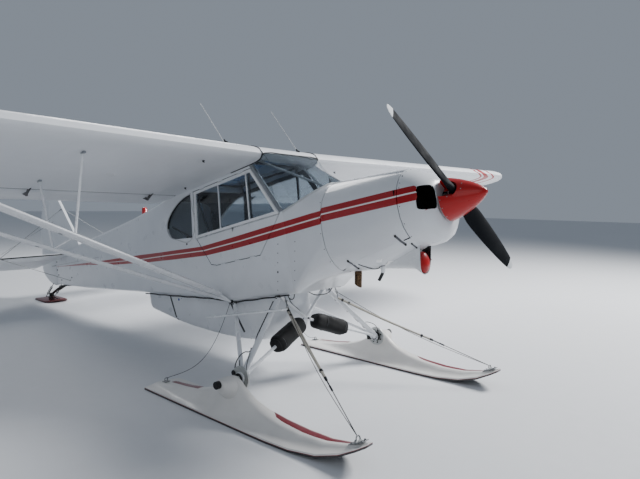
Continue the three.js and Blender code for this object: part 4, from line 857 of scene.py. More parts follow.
# Vinyl sticker: flat blue with a thin gloss.
BLUE_STICKER = Finish(
    "blue_vinyl_sticker", "24489A", 0.35, coat=0.3, grain_mm=10, grain_height_mm=0.01, mottle=0.05
)
# Painted studio floor: pale, matt, even.
STUDIO_FLOOR = Finish(
    "matt_studio_floor", "D4D6D9", 0.8, grain_mm=30, grain_height_mm=0.1, mottle=0.02, mottle_mm=2500,
)


# Making meshes


def shares(count: int) -> list[float]:
    """Gives even steps from 0 to 1."""
    return [step / count for step in range(count + 1)]


def angles(count: int) -> list[float]:
    """Gives even angles round a full turn."""
    return [math.tau * step / count for step in range(count)]


def mirrored(vector: Vector) -> Vector:
    """Gives the same place or direction on the other side."""
    return Vector((vector.x, -vector.y, vector.z))


def belly_z(x: float) -> float:
    """Gives the height of the fuselage's bottom at a station."""
    for (x0, z0), (x1, z1) in zip(BELLY_LINE, BELLY_LINE[1:]):
        if x1 <= x <= x0:
            return z0 + (z1 - z0) * (x - x0) / (x1 - x0)
    return BELLY_LINE[0][1] if x > 0 else BELLY_LINE[-1][1]


def soften(bm: Mesh, limit_degrees: float) -> None:
    """Shades faces smooth, with hard edges only where the surface really turns.

    Args:
        bm: mesh being made.
        limit_degrees: an edge that turns more than this stays hard.
    """
    limit = math.radians(limit_degrees)
    for face in bm.faces:
        face.smooth = True
    for edge in bm.edges:
        edge.smooth = len(edge.link_faces) == 2 and edge.calc_face_angle(math.pi) < limit


def finish_piece(
    name: str,
    bm: Mesh,
    finishes: Finish | Sequence[Finish],
    body: str | None = "airframe",
    place: Matrix = AIRFRAME,
    hard_degrees: float = 35.0,
) -> bpy.types.Object:
    """Turns a bmesh into a finished piece that rides on a body.

    Args:
        name: plain name of the piece.
        bm: its mesh, in millimetres of its own frame.
        finishes: one finish, or one for each material number in the mesh.
        body: body that it rides on, or None where the caller places it.
        place: turns its own frame into the shared one.
        hard_degrees: edges that turn more than this stay hard.

    Returns:
        The new object.
    """
    soften(bm, hard_degrees)
    bm.transform(place)
    mesh = bpy.data.meshes.new(name)
    bm.to_mesh(mesh)
    bm.free()
    piece = bpy.data.objects.new(name, mesh)
    bpy.context.scene.collection.objects.link(piece)
    for finish in [finishes] if isinstance(finishes, Finish) else finishes:
        mesh.materials.append(finish.material())
    if body:
        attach(piece, body)
    LOG.info("%s: %d faces", name, len(mesh.polygons))
    return piece


def hang_between(
    name: str, bm: Mesh, finish: Finish
) -> bpy.types.Object:
    """Finishes a cord or spring that reaches from the fuselage to a ski, fixed in the shared frame.

    Args:
        name: plain name of the piece.
        bm: its mesh, in ground millimetres.
        finish: its material.

    Returns:
        The new object.
    """
    piece = finish_piece(name, bm, finish, None, GROUND)
    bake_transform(piece)
    return piece


def paint_faces(bm: Mesh, start: int, number: int) -> None:
    """Gives the faces made since a count their material number.

    Args:
        bm: mesh being made.
        start: how many faces there were before.
        number: material number for the newer ones.
    """
    bm.faces.ensure_lookup_table()
    for index in range(start, len(bm.faces)):
        bm.faces[index].material_index = number


def add_rod(
    bm: Mesh, start: Point, end: Point, radius: float, sides: int = 14, end_radius: float | None = None
) -> None:
    """Adds a round bar or cone between two points.

    Args:
        bm: mesh being made.
        start: centre of its first end.
        end: centre of its second end.
        radius: radius at the start.
        sides: how many flats its round has.
        end_radius: radius at the end, where it tapers.
    """
    a, b = Vector(start), Vector(end)
    turn = (b - a).to_track_quat("Z", "Y").to_matrix().to_4x4()
    bmesh.ops.create_cone(
        bm,
        cap_ends=True,
        segments=sides,
        radius1=radius,
        radius2=radius if end_radius is None else end_radius,
        depth=(b - a).length,
        matrix=Matrix.Translation((a + b) / 2) @ turn,
    )


def add_block(bm: Mesh, centre: Point, size: Point, bevel: float = 0.0, turn: Matrix | None = None) -> None:
    """Adds a block with softened edges.

    Args:
        bm: mesh being made.
        centre: its middle.
        size: its three lengths.
        bevel: radius of its edges.
        turn: turns it about its middle.
    """
    matrix = Matrix.Translation(centre) @ (turn or Matrix.Identity(4)) @ Matrix.Diagonal((*size, 1))
    made = bmesh.ops.create_cube(bm, size=1.0, matrix=matrix)
    if bevel > 0:
        edges = list({edge for vert in made["verts"] for edge in vert.link_edges})
        bmesh.ops.bevel(bm, geom=edges, offset=bevel, segments=2, profile=0.5, affect="EDGES", material=-1)


def add_ball(bm: Mesh, centre: Point, radii: Point, segments: int = 20) -> None:
    """Adds a ball or an egg.

    Args:
        bm: mesh being made.
        centre: its middle.
        radii: its three radii.
        segments: how many flats it has round its height.
    """
    matrix = Matrix.Translation(centre) @ Matrix.Diagonal((*radii, 1))
    bmesh.ops.create_uvsphere(
        bm, u_segments=segments, v_segments=segments // 2 + 2, radius=1.0, matrix=matrix
    )


def add_bend(bm: Mesh, points: Sequence[Point], radius: float, smooth: bool = True, sides: int = 2) -> None:
    """Adds a round tube or hose that follows points.

    Args:
        bm: mesh being made.
        points: places that its middle passes through.
        radius: its radius.
        smooth: bends softly through the points, else straight between them.
        sides: how fine its round is.
    """
    curve = bpy.data.curves.new("path", "CURVE")
    curve.dimensions = "3D"
    curve.bevel_depth = radius
    curve.bevel_resolution = sides
    curve.use_fill_caps = True
    curve.resolution_u = 6
    spline = curve.splines.new("BEZIER")
    spline.bezier_points.add(len(points) - 1)
    for knot, point in zip(spline.bezier_points, points):
        knot.co = point
        knot.handle_left_type = knot.handle_right_type = "AUTO" if smooth else "VECTOR"
    holder = bpy.data.objects.new("path", curve)
    bpy.context.scene.collection.objects.link(holder)
    bpy.context.view_layer.update()
    mesh = bpy.data.meshes.new_from_object(holder.evaluated_get(bpy.context.evaluated_depsgraph_get()))
    before = len(bm.verts)
    bm.from_mesh(mesh)
    bm.verts.ensure_lookup_table()
    bmesh.ops.remove_doubles(bm, verts=bm.verts[before:], dist=1e-4)
    bpy.data.objects.remove(holder)
    bpy.data.curves.remove(curve)
    bpy.data.meshes.remove(mesh)


def add_skin(bm: Mesh, rings: Sequence[Sequence[Point]], capped: bool = True) -> None:
    """Draws out one ring of points through the others, as a closed skin.

    Args:
        bm: mesh being made.
        rings: rings with the same number of points each.
        capped: closes both ends.
    """
    count = len(rings[0])
    start = bmesh.ops.create_circle(bm, cap_ends=False, segments=count, radius=1.0)
    verts = start["verts"]
    for vert, point in zip(verts, rings[0]):
        vert.co = point
    first = edges = list({edge for vert in verts for edge in vert.link_edges})
    ring_verts = verts
    for ring in rings[1:]:
        made = bmesh.ops.extrude_edge_only(bm, edges=edges)["geom"]
        fresh = [item for item in made if isinstance(item, bmesh.types.BMVert)]
        edges = [item for item in made if isinstance(item, bmesh.types.BMEdge)]
        follow = {}
        for vert in fresh:
            for edge in vert.link_edges:
                other = edge.other_vert(vert)
                if other in ring_verts:
                    follow[other] = vert
        ring_verts = [follow[vert] for vert in ring_verts]
        for vert, point in zip(ring_verts, ring):
            vert.co = point
    if capped:
        bmesh.ops.contextual_create(bm, geom=first)
        bmesh.ops.contextual_create(bm, geom=edges)
    bmesh.ops.recalc_face_normals(bm, faces=bm.faces)


def add_ribbon(
    bm: Mesh, points: Sequence[Vector], normals: Sequence[Vector], width: float, thickness: float
) -> None:
    """Adds a flat strip that lies on a surface along points.

    Args:
        bm: mesh being made.
        points: middle line on the surface.
        normals: direction away from the surface at each point.
        width: how wide the strip is.
        thickness: how far it stands up.
    """
    rings = []
    for index, (point, normal) in enumerate(zip(points, normals)):
        ahead = points[min(index + 1, len(points) - 1)] - points[max(index - 1, 0)]
        across = ahead.cross(normal).normalized() * width / 2
        lift = normal.normalized() * thickness
        foot = point - normal.normalized() * thickness * 0.4
        rings.append(
            [foot - across, foot + across, point + across * 0.92 + lift, point - across * 0.92 + lift]
        )
    add_skin(bm, rings)


def add_turned(
    bm: Mesh, profile: Sequence[Pair], axis_start: Point, axis_end: Point, steps: int = 32
) -> None:
    """Spins a profile about an axis, as on a lathe.

    Args:
        bm: mesh being made.
        profile: distance along the axis and radius of each bend.
        axis_start: where the axis starts.
        axis_end: a point that the axis runs towards.
        steps: how many flats the round has.
    """
    part = bmesh.new()
    knots = [part.verts.new((radius, 0, along)) for along, radius in profile]
    edges = [part.edges.new(pair) for pair in zip(knots, knots[1:])]
    bmesh.ops.spin(
        part,
        geom=knots + edges,
        cent=(0, 0, 0),
        axis=(0, 0, 1),
        dvec=(0, 0, 0),
        angle=math.tau,
        steps=steps,
        use_merge=True,
    )
    bmesh.ops.remove_doubles(part, verts=part.verts, dist=1e-4)
    bmesh.ops.recalc_face_normals(part, faces=part.faces)
    a, b = Vector(axis_start), Vector(axis_end)
    part.transform(Matrix.Translation(a) @ (b - a).to_track_quat("Z", "Y").to_matrix().to_4x4())
    mesh = bpy.data.meshes.new("turned")
    part.to_mesh(mesh)
    part.free()
    bm.from_mesh(mesh)
    bpy.data.meshes.remove(mesh)


def cut_away(piece: bpy.types.Object, cutter: Mesh) -> None:
    """Cuts a solid out of a piece and keeps the result as its mesh.

    Args:
        piece: finished piece, in the shared frame.
        cutter: closed solid in the shared frame.
    """
    mesh = bpy.data.meshes.new("cutter")
    cutter.to_mesh(mesh)
    cutter.free()
    tool = bpy.data.objects.new("cutter", mesh)
    bpy.context.scene.collection.objects.link(tool)
    step = piece.modifiers.new("cut", "BOOLEAN")
    step.operation = "DIFFERENCE"
    step.solver = "EXACT"
    step.object = tool
    bpy.context.view_layer.update()
    result = bpy.data.meshes.new_from_object(piece.evaluated_get(bpy.context.evaluated_depsgraph_get()))
    piece.modifiers.clear()
    piece.data = result
    bpy.data.objects.remove(tool)
    bm = bmesh.new()
    bm.from_mesh(result)
    soften(bm, 30)
    bm.to_mesh(result)
    bm.free()


@dataclass
class Skin:
    """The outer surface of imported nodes, for setting small parts down on it."""

    frame: dict
    nodes: tuple[str, ...]

    def __post_init__(self) -> None:
        """Gathers the nodes' triangles in airframe millimetres."""
        bm = bmesh.new()
        for node in self.nodes:
            bm.from_mesh(self.frame["nodes"][node].data)
        bm.transform(AIRFRAME.inverted())
        self.tree = BVHTree.FromBMesh(bm)
        bm.free()

    def cast(self, origin: Point, direction: Point) -> Spot | None:
        """Finds the first surface point along a ray, and the outward direction there."""
        point, normal, _, _ = self.tree.ray_cast(Vector(origin), Vector(direction))
        if point is None:
            return None
        return point, normal if normal.dot(Vector(direction)) < 0 else -normal

    def side(self, x: float, z: float, side: int) -> Spot | None:
        """Finds the skin from outside the given side."""
        return self.cast((x, side * 900, z), (0, -side, 0))

    def front(self, y: float, z: float) -> Spot | None:
        """Finds the skin from ahead."""
        return self.cast((2500, y, z), (-1, 0, 0))

    def above(self, x: float, y: float) -> Spot | None:
        """Finds the skin from above."""
        return self.cast((x, y, 900), (0, 0, -1))

    def below(self, x: float, y: float) -> Spot | None:
        """Finds the skin from below."""
        return self.cast((x, y, -2500), (0, 0, 1))

    def near(self, point: Point) -> Spot:
        """Finds the skin next to a point, and the direction away from the cowl's middle."""
        spot, normal, _, _ = self.tree.find_nearest(Vector(point))
        outward = Vector((0, spot.y, spot.z + 690))
        away = normal if normal.dot(outward) > 0 else -normal
        return self.cast(spot + away * 60, -away) or (spot, away)


def add_screw(bm: Mesh, spot: Spot | None, radius: float = 5.0, height: float = 1.6, sides: int = 10) -> None:
    """Sets a low domed screw head on a surface point.

    Args:
        bm: mesh being made.
        spot: surface point and its outward direction, or None to leave it out.
        radius: radius of the head.
        height: how far it stands up.
        sides: flats of its round.
    """
    if spot is None:
        return
    point, normal = spot
    add_rod(bm, point - normal, point + normal * height, radius, sides, radius * 0.72)


@dataclass
class Workshop:
    """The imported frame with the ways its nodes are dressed."""

    frame: dict

    def dress(
        self,
        node: str,
        finish: Finish,
        slot: Slot,
        hard_degrees: float = 35.0,
        bevel: float = 0.0,
        bevel_test: Callable[[bmesh.types.BMEdge], bool] | None = None,
    ) -> bpy.types.Object:
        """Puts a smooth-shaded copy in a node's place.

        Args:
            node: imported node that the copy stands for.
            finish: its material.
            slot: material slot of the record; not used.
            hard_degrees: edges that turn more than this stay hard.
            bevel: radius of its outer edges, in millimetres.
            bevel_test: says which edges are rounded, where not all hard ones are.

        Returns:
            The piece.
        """
        source = self.frame["nodes"][node]
        bm = bmesh.new()
        bm.from_mesh(source.data)
        bmesh.ops.remove_doubles(bm, verts=bm.verts, dist=2e-5)
        bmesh.ops.dissolve_limit(bm, angle_limit=math.radians(0.6), verts=bm.verts, edges=bm.edges)
        bm.transform(MM.inverted())
        if bevel > 0:
            edges = [
                edge
                for edge in bm.edges
                if len(edge.link_faces) == 2
                and abs(edge.calc_face_angle(0)) > math.radians(hard_degrees)
                and (bevel_test is None or bevel_test(edge))
            ]
            bmesh.ops.bevel(
                bm, geom=edges, offset=bevel, segments=3, profile=0.5, affect="EDGES", clamp_overlap=True,
                material=-1
            )
        piece = finish_piece(f"{node}_skin", bm, finish, source["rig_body"], MM, hard_degrees)
        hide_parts(node)
        return piece

    def recolour(self, node: str, finish: Finish) -> None:
        """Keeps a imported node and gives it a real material."""
        mesh = self.frame["nodes"][node].data
        if not mesh.materials:
            mesh.materials.append(None)
        for index in range(len(mesh.materials)):
            mesh.materials[index] = finish.material()
        LOG.info("%s: kept, %s", node, finish.name)


def long_edge(length: float) -> Callable[[bmesh.types.BMEdge], bool]:
    """Makes a test for edges longer than a length in millimetres."""
    return lambda edge: edge.calc_length() > length


# Sub-assemblies


@dataclass
class NoseAndCowls:
    """Nose bowl, cowl panels, chin intake, exhaust and what is fastened to them."""

    shop: Workshop
    inlet: Row = (134, 280, -744, -573)
    inlet_corner: float = 46
    inlet_taper: float = 24
    door_seam: tuple[Pair, Pair] = ((1166, -904), (514, -1057))
    duct_front_x: float = 1250
    duct_back_x: float = 1150
    straps: tuple[tuple[tuple[Point, ...], float], ...] = (
        (((1084, 247, -878), (1111, 171, -945)), 18),
        (((1147, 150, -944), (1141, 84, -976)), 12),
        (((648, 256, -995), (665, 223, -1022), (671, 172, -1058)), 18),
    )
    # Two patches of painted highlight on the lower cowl: start, end and width.
    highlight_patches: tuple[tuple[Point, Point, float], ...] = (
        ((864, -198, -1022), (893, -173, -1028), 40), ((929, -110, -1042), (861, -78, -1070), 46),
    )
    drain: tuple[Point, ...] = (
        (707, -214, -1030), (738, -179, -1054), (756, -123, -1076), (770, -78, -1082), (845, -116, -1068),
        (862, -97, -1068),
    )

    def build(self) -> None:
        """Dresses the panels and adds lips, latches, screws, pipes and the intake's filter dome."""
        panels = ("cowl_top", "cowl_bottom", "cowl_door_left", "cowl_door_right", "boot_cowl")
        for node in panels:
            self.shop.dress(node, COWL_ENAMEL, Slot.WHITE, 32)
        self.shop.dress("nose_bowl", NOSE_ENAMEL, Slot.WHITE, 32)
        self.shop.dress("intake_scoop", SCOOP_ENAMEL, Slot.WHITE, 40)
        self.shop.dress("exhaust_stack", EXHAUST, Slot.EXHAUST, 40)
        self.shop.dress("firewall", STAINLESS, Slot.STEEL)
        self.shop.dress("engine_block", CAST_METAL, Slot.ENGINE, 30, 12)
        skin = Skin(self.shop.frame, ("nose_bowl", *panels))
        self.inlet_lips(skin)
        self.inlet_ducts(skin)
        self.seam_seals(skin)
        self.latches(skin)
        self.tape_and_highlight(skin)
        self.screws(skin)
        self.filter_dome()
        self.breather(skin)

    def inlet_outline(self) -> list[Pair]:
        """Gives the inlet's rounded outline as y and z, from its inner bottom corner round."""
        y0, y1, z0, z1 = self.inlet
        r = self.inlet_corner
        corners = (
            (y1 - r, z0 + r, -90), (y1 - self.inlet_taper - r, z1 - r, 0), (y0 + r, z1 - r, 90),
            (y0 + r, z0 + r, 180),
        )
        outline = []
        for cy, cz, start in corners:
            for step in range(0, 91, 15):
                angle = math.radians(start + step)
                outline.append((cy + r * math.cos(angle), cz + r * math.sin(angle)))
        return outline

    def drawn_in(self, place: Pair, share: float) -> Pair:
        """Moves an outline point to a share of its distance from the inlet's middle."""
        y0, y1, z0, z1 = self.inlet
        middle_y, middle_z = (y0 + y1) / 2, (z0 + z1) / 2
        return middle_y + (place[0] - middle_y) * share, middle_z + (place[1] - middle_z) * share

    def inlet_lips(self, skin: Skin) -> None:
        """Rolls a thin red lip along the bottom of each cooling inlet.

        Args:
            skin: surface of the nose.
        """
        bottom = self.inlet[2]
        for tag, side in SIDES:
            points = []
            for y, z in self.inlet_outline():
                spot = skin.front(side * y, bottom - 2)
                if z < bottom + 3 and spot:
                    points.append(spot[0] - Vector((3.0, 0, 0)))
            points.sort(key=lambda p: p[1] * side)
            bm = bmesh.new()
            add_bend(bm, points, 3.0)
            finish_piece(f"inlet_lip_{tag}", bm, SPINNER_RED)

    def inlet_ducts(self, skin: Skin) -> None:
        """Leads each inlet back into a near-black duct of painted shade that ends at the finned cylinders.

        Args:
            skin: surface of the nose.
        """
        bm = bmesh.new()
        middle_y, middle_z = self.drawn_in((0, 0), 0)
        for _, side in SIDES:
            mouth, back = [], []
            for place in self.inlet_outline():
                y, z = self.drawn_in(place, 1.06)
                spot = skin.front(side * y, z)
                front_x = min(spot[0].x if spot else self.duct_front_x, self.duct_front_x + 160) - 4
                for ring, x, share in ((mouth, front_x, 0.985), (back, self.duct_back_x, 0.9)):
                    y, z = self.drawn_in(place, share)
                    ring.append((x, side * y, z))
            # Duct rings and back plate are near-black painted shade.
            add_skin(bm, [mouth, back], capped=False)
            add_block(bm, (self.duct_back_x - 2, side * middle_y, middle_z), (6, 150, 180), 2)
        finish_piece("inlet_shade_ducts", bm, SHADE_BLACK)

    def seam_seals(self, skin: Skin) -> None:
        """Covers the seam under each cowl door with a thin white strip on the door's edge.

        Args:
            skin: surface of the cowl.
        """
        (x0, z0), (x1, z1) = self.door_seam
        for tag, side in SIDES:
            points, normals = [], []
            for t in shares(14):
                x, z = x0 + (x1 - x0) * t, z0 + (z1 - z0) * t
                above, under = skin.side(x, z + 9, side), skin.side(x, z - 9, side)
                if above and under:
                    points.append((above[0] + under[0]) / 2)
                    normals.append((above[1] + under[1]).normalized())
            bm = bmesh.new()
            add_ribbon(bm, points, normals, 16, 1.2)
            finish_piece(f"cowl_seam_strip_{tag}", bm, COWL_ENAMEL, f"cowl_door_{tag}")

    def latches(self, skin: Skin) -> None:
        """Adds the strap latches with dark ends to each cowl door's lower edge.

        Args:
            skin: surface of the cowl.
        """
        for tag, side in SIDES:
            bm = bmesh.new()
            for knots, width in self.straps:
                spots = []
                for start, end in zip(knots, knots[1:]):
                    for t in shares(4):
                        x, y, z = Vector(start).lerp(Vector(end), t)
                        spots.append(skin.near((x, side * y, z)))
                add_ribbon(bm, [s[0] for s in spots], [s[1] for s in spots], width, 3.5)
                dark = len(bm.faces)
                for point, normal in (spots[0], spots[-1]):
                    turn = normal.to_track_quat("Z", "X").to_matrix().to_4x4()
                    add_block(bm, point + normal * 3, (width, width * 0.8, 9), 2, turn)
                paint_faces(bm, dark, 1)
            finish_piece(
                f"cowl_latches_{tag}", bm, [STRAP_GREY, BLACK_ENAMEL], f"cowl_door_{tag}"
            )

    def tape_and_highlight(self, skin: Skin) -> None:
        """Lays two bright white patches of painted highlight on the right side of the bottom cowl.

        Args:
            skin: surface of the cowl.
        """
        bm = bmesh.new()
        for start, end, width in self.highlight_patches:
            spots = [skin.near(Vector(start).lerp(Vector(end), t)) for t in shares(3)]
            add_ribbon(bm, [s[0] for s in spots], [s[1] for s in spots], width, 0.8)
        finish_piece("cowl_painted_highlights", bm, HIGHLIGHT_WHITE)

    def screws(self, skin: Skin) -> None:
        """Sets the screw rows of boot cowl, cowl top and bowl seam.

        Args:
            skin: surface of the nose.
        """
        columns = (
            ((220, -777), (205, -850), (189, -928), (174, -1002), (159, -1080)),
            ((498, -420), (498, -520), (498, -640), (498, -760), (498, -880), (496, -980)),
        )
        bm = bmesh.new()
        for _, side in SIDES:
            for column in columns:
                for x, z in column:
                    add_screw(bm, skin.side(x, z, side), 4.5)
            for z in (-470, -560, -690, -810, -900):
                add_screw(bm, skin.side(1184, z, side), 4.0)
            for x in (560, 690, 820, 950, 1080):
                add_screw(bm, skin.above(x, side * 70), 4.0)
            for y in (60, 130, 190, 240):
                add_screw(bm, skin.above(1184, side * y), 4.0)
        finish_piece("cowl_screws", bm, DARK_STEEL)
        studs = bmesh.new()
        for _, side in SIDES:
            add_screw(studs, skin.side(560, -1075, side), 6)
        finish_piece("cowl_studs", studs, DARK_STEEL)

    def filter_dome(self) -> None:
        """Fills the chin intake with the red domed filter cover, a fitting, and a dark block behind the dome
        that is painted shade in its rim gap.
        """
        bm = bmesh.new()
        add_ball(bm, (1124, 6, -1088), (40, 68, 80), 32)
        finish_piece("intake_filter_dome", bm, SPINNER_RED)
        fitting = bmesh.new()
        add_rod(fitting, (1150, 66, -1076), (1159, 66, -1076), 6, 12)
        add_rod(fitting, (1153, 66, -1076), (1162, 66, -1076), 3, 10)
        finish_piece("intake_fitting", fitting, ZINC_STEEL)
        # Dark block behind the dome: painted shade in the gap round it.
        back = bmesh.new()
        add_block(back, (1104, 0, -1070), (6, 118, 100), 2)
        finish_piece("intake_gap_shade", back, RUBBER_AND_SHADE)

    def breather(self, skin: Skin) -> None:
        """Adds the dark breather tube with its white stub, and the drain line on the lower cowl.

        Args:
            skin: surface of the cowl.
        """
        bm = bmesh.new()
        add_bend(bm, [(822, -85, -1122), (806, -85, -1142), (780, -85, -1172)], 13)
        add_bend(bm, [spot + normal * 2.5 for spot, normal in map(skin.near, self.drain)], 3)
        finish_piece("breather_and_drain", bm, RUBBER_AND_SHADE)
        stub = bmesh.new()
        add_rod(stub, (846, -85, -1060), (824, -85, -1118), 22, 20, 15)
        finish_piece("breather_stub", stub, TUBE_ENAMEL)


@dataclass
class PropellerAndSpinner:
    """Two-blade propeller with its pointed spinner."""

    axis_z: float = -684
    disc_x: float = 1478
    rest_degrees: float = -36.5
    back_x: float = 1403
    length: float = 291
    radius: float = 154
    notch_half: float = 60
    notch_offset: float = 15
    hub_radius: float = 62
    bolt_circle: float = 42
    belly_share: float = 0.8
    bluntness: float = 1.26
    fullness: float = 0.69
    blade: tuple[Row, ...] = (
        (30, 66, 56, 62), (110, 84, 56, 48), (160, 108, 50, 38), (210, 135, 44, 28), (262, 146, 38, 23),
        (350, 148, 32, 20), (450, 146, 26, 18), (560, 138, 20, 16.5), (700, 121, 14, 15), (800, 100, 11, 14),
        (850, 86, 9, 13), (885, 64, 7, 13), (900, 42, 6, 13), (905, 22, 4, 13),
    )

    def rest(self) -> Matrix:
        """Gives the parked place of the propeller in the shared frame."""
        turn = Matrix.Rotation(math.radians(self.rest_degrees), 4, "X")
        return AIRFRAME @ (Matrix.Translation((0, 0, self.axis_z)) @ turn)

    def build(self) -> None:
        """Builds blades, hub, spinner shell, its rim and screws."""
        self.blades()
        self.spinner()
        self.rim_and_screws()

    def rows(self) -> list[Row]:
        """Fills in blade stations between the given ones."""
        filled = []
        for low, high in zip(self.blade, self.blade[1:]):
            for step in range(4):
                t = step / 4
                filled.append(tuple(a + (b - a) * t for a, b in zip(low, high)))
        return [*filled, self.blade[-1]]

    def blades(self) -> None:
        """Draws out both blades ring by ring and joins them to the hub with its bolts."""
        bm = bmesh.new()
        for side in (-1, 1):
            rings = []
            for radius, chord, thickness, angle in self.rows():
                twist = math.radians(angle) * side
                ring = []
                for around in angles(24):
                    u = chord / 2 * math.cos(around)
                    lift = math.sin(around)
                    v = thickness / 2 * lift * (1.0 if lift > 0 else self.belly_share)
                    x = self.disc_x + u * math.sin(twist) + v * math.cos(twist)
                    ring.append((x, side * radius, u * math.cos(twist) - v * math.sin(twist)))
                rings.append(ring)
            add_skin(bm, rings)
        add_rod(bm, (self.disc_x - 40, 0, 0), (self.disc_x + 40, 0, 0), self.hub_radius, 40)
        for step in range(6):
            angle = math.radians(60 * step + 30)
            y, z = self.bolt_circle * math.cos(angle), self.bolt_circle * math.sin(angle)
            add_rod(bm, (self.disc_x + 39, y, z), (self.disc_x + 52, y, z), 9, 6)
        piece = finish_piece("propeller_blades", bm, BLADE, "propeller", self.rest(), 40)
        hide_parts("propeller")

    def radius_at(self, share: float) -> float:
        """Gives the spinner's radius at a share of its length from the back."""
        return self.radius * max(1 - share**self.bluntness, 0) ** self.fullness

    def spinner(self) -> None:
        """Spins the shell's profile and cuts the two blade slots, open at the back."""
        steps = 26
        profile = [(0.0, 0.0), (0.0, self.radius - 1.2)]
        for step in range(steps + 1):
            t = (step / steps) ** 0.9
            radius = self.radius_at(max(t, 0.006)) if step < steps else 0.0
            profile.append((max(t * self.length, 1.5), radius))
        bm = bmesh.new()
        add_turned(bm, profile, (self.back_x, 0, 0), (self.back_x + 100, 0, 0), 72)
        piece = finish_piece("spinner_shell", bm, SPINNER_RED, "propeller", self.rest(), 30)
        front = self.disc_x - 10
        for side in (-1, 1):
            cutter = bmesh.new()
            middle = side * self.notch_offset
            rings = []
            for y in (side * (self.hub_radius + 6), side * 190):
                ring = [(self.back_x - 12, y, middle - self.notch_half)]
                for t in shares(16):
                    angle = math.radians(-90 + 180 * t)
                    x, z = self.notch_half * math.cos(angle), self.notch_half * math.sin(angle)
                    ring.append((front + x, y, middle + z))
                ring.append((self.back_x - 12, y, middle + self.notch_half))
                rings.append(ring)
            add_skin(cutter, rings)
            cutter.transform(self.rest())
            bmesh.ops.recalc_face_normals(cutter, faces=cutter.faces)
            cut_away(piece, cutter)
        hub_room = bmesh.new()
        add_rod(hub_room, (self.back_x - 12, 0, 0), (self.disc_x + 62, 0, 0), self.hub_radius + 8, 40)
        hub_room.transform(self.rest())
        cut_away(piece, hub_room)
        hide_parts("spinner")

    def rim_and_screws(self) -> None:
        """Adds the backing plate's bright rim and the screws that hold the shell."""
        bm = bmesh.new()
        for start, end in ((32, 132), (212, 312)):
            points = []
            for degrees in range(start, end + 1, 4):
                angle = math.radians(degrees)
                rim = self.radius - 1.5
                points.append((self.back_x + 2, rim * math.cos(angle), rim * math.sin(angle)))
            add_bend(bm, points, 3.0)
        for along, places in (
            (14, (40, 62, 90, 118, 220, 242, 270, 298)), (62, (34, 128, 214, 308)),
            (148, (12, 168, 192, 348)),
        ):
            for degrees in places:
                self.screw(bm, along, degrees)
        finish_piece("spinner_rim_and_screws", bm, ZINC_STEEL, "propeller", self.rest())

    def screw(self, bm: Mesh, along: float, degrees: float) -> None:
        """Sets one screw on the spinner.

        Args:
            bm: mesh being made.
            along: distance from the spinner's back edge.
            degrees: place round the axis.
        """
        t = along / self.length
        radius, behind = self.radius_at(t), self.radius_at(max(t - 0.02, 0.0))
        angle = math.radians(degrees)
        slope = (behind - radius) / (0.02 * self.length)
        out = Vector((slope, math.cos(angle), math.sin(angle))).normalized()
        point = Vector((self.back_x + along, radius * math.cos(angle), radius * math.sin(angle)))
        add_screw(bm, (point, out), 4.5, 1.6)


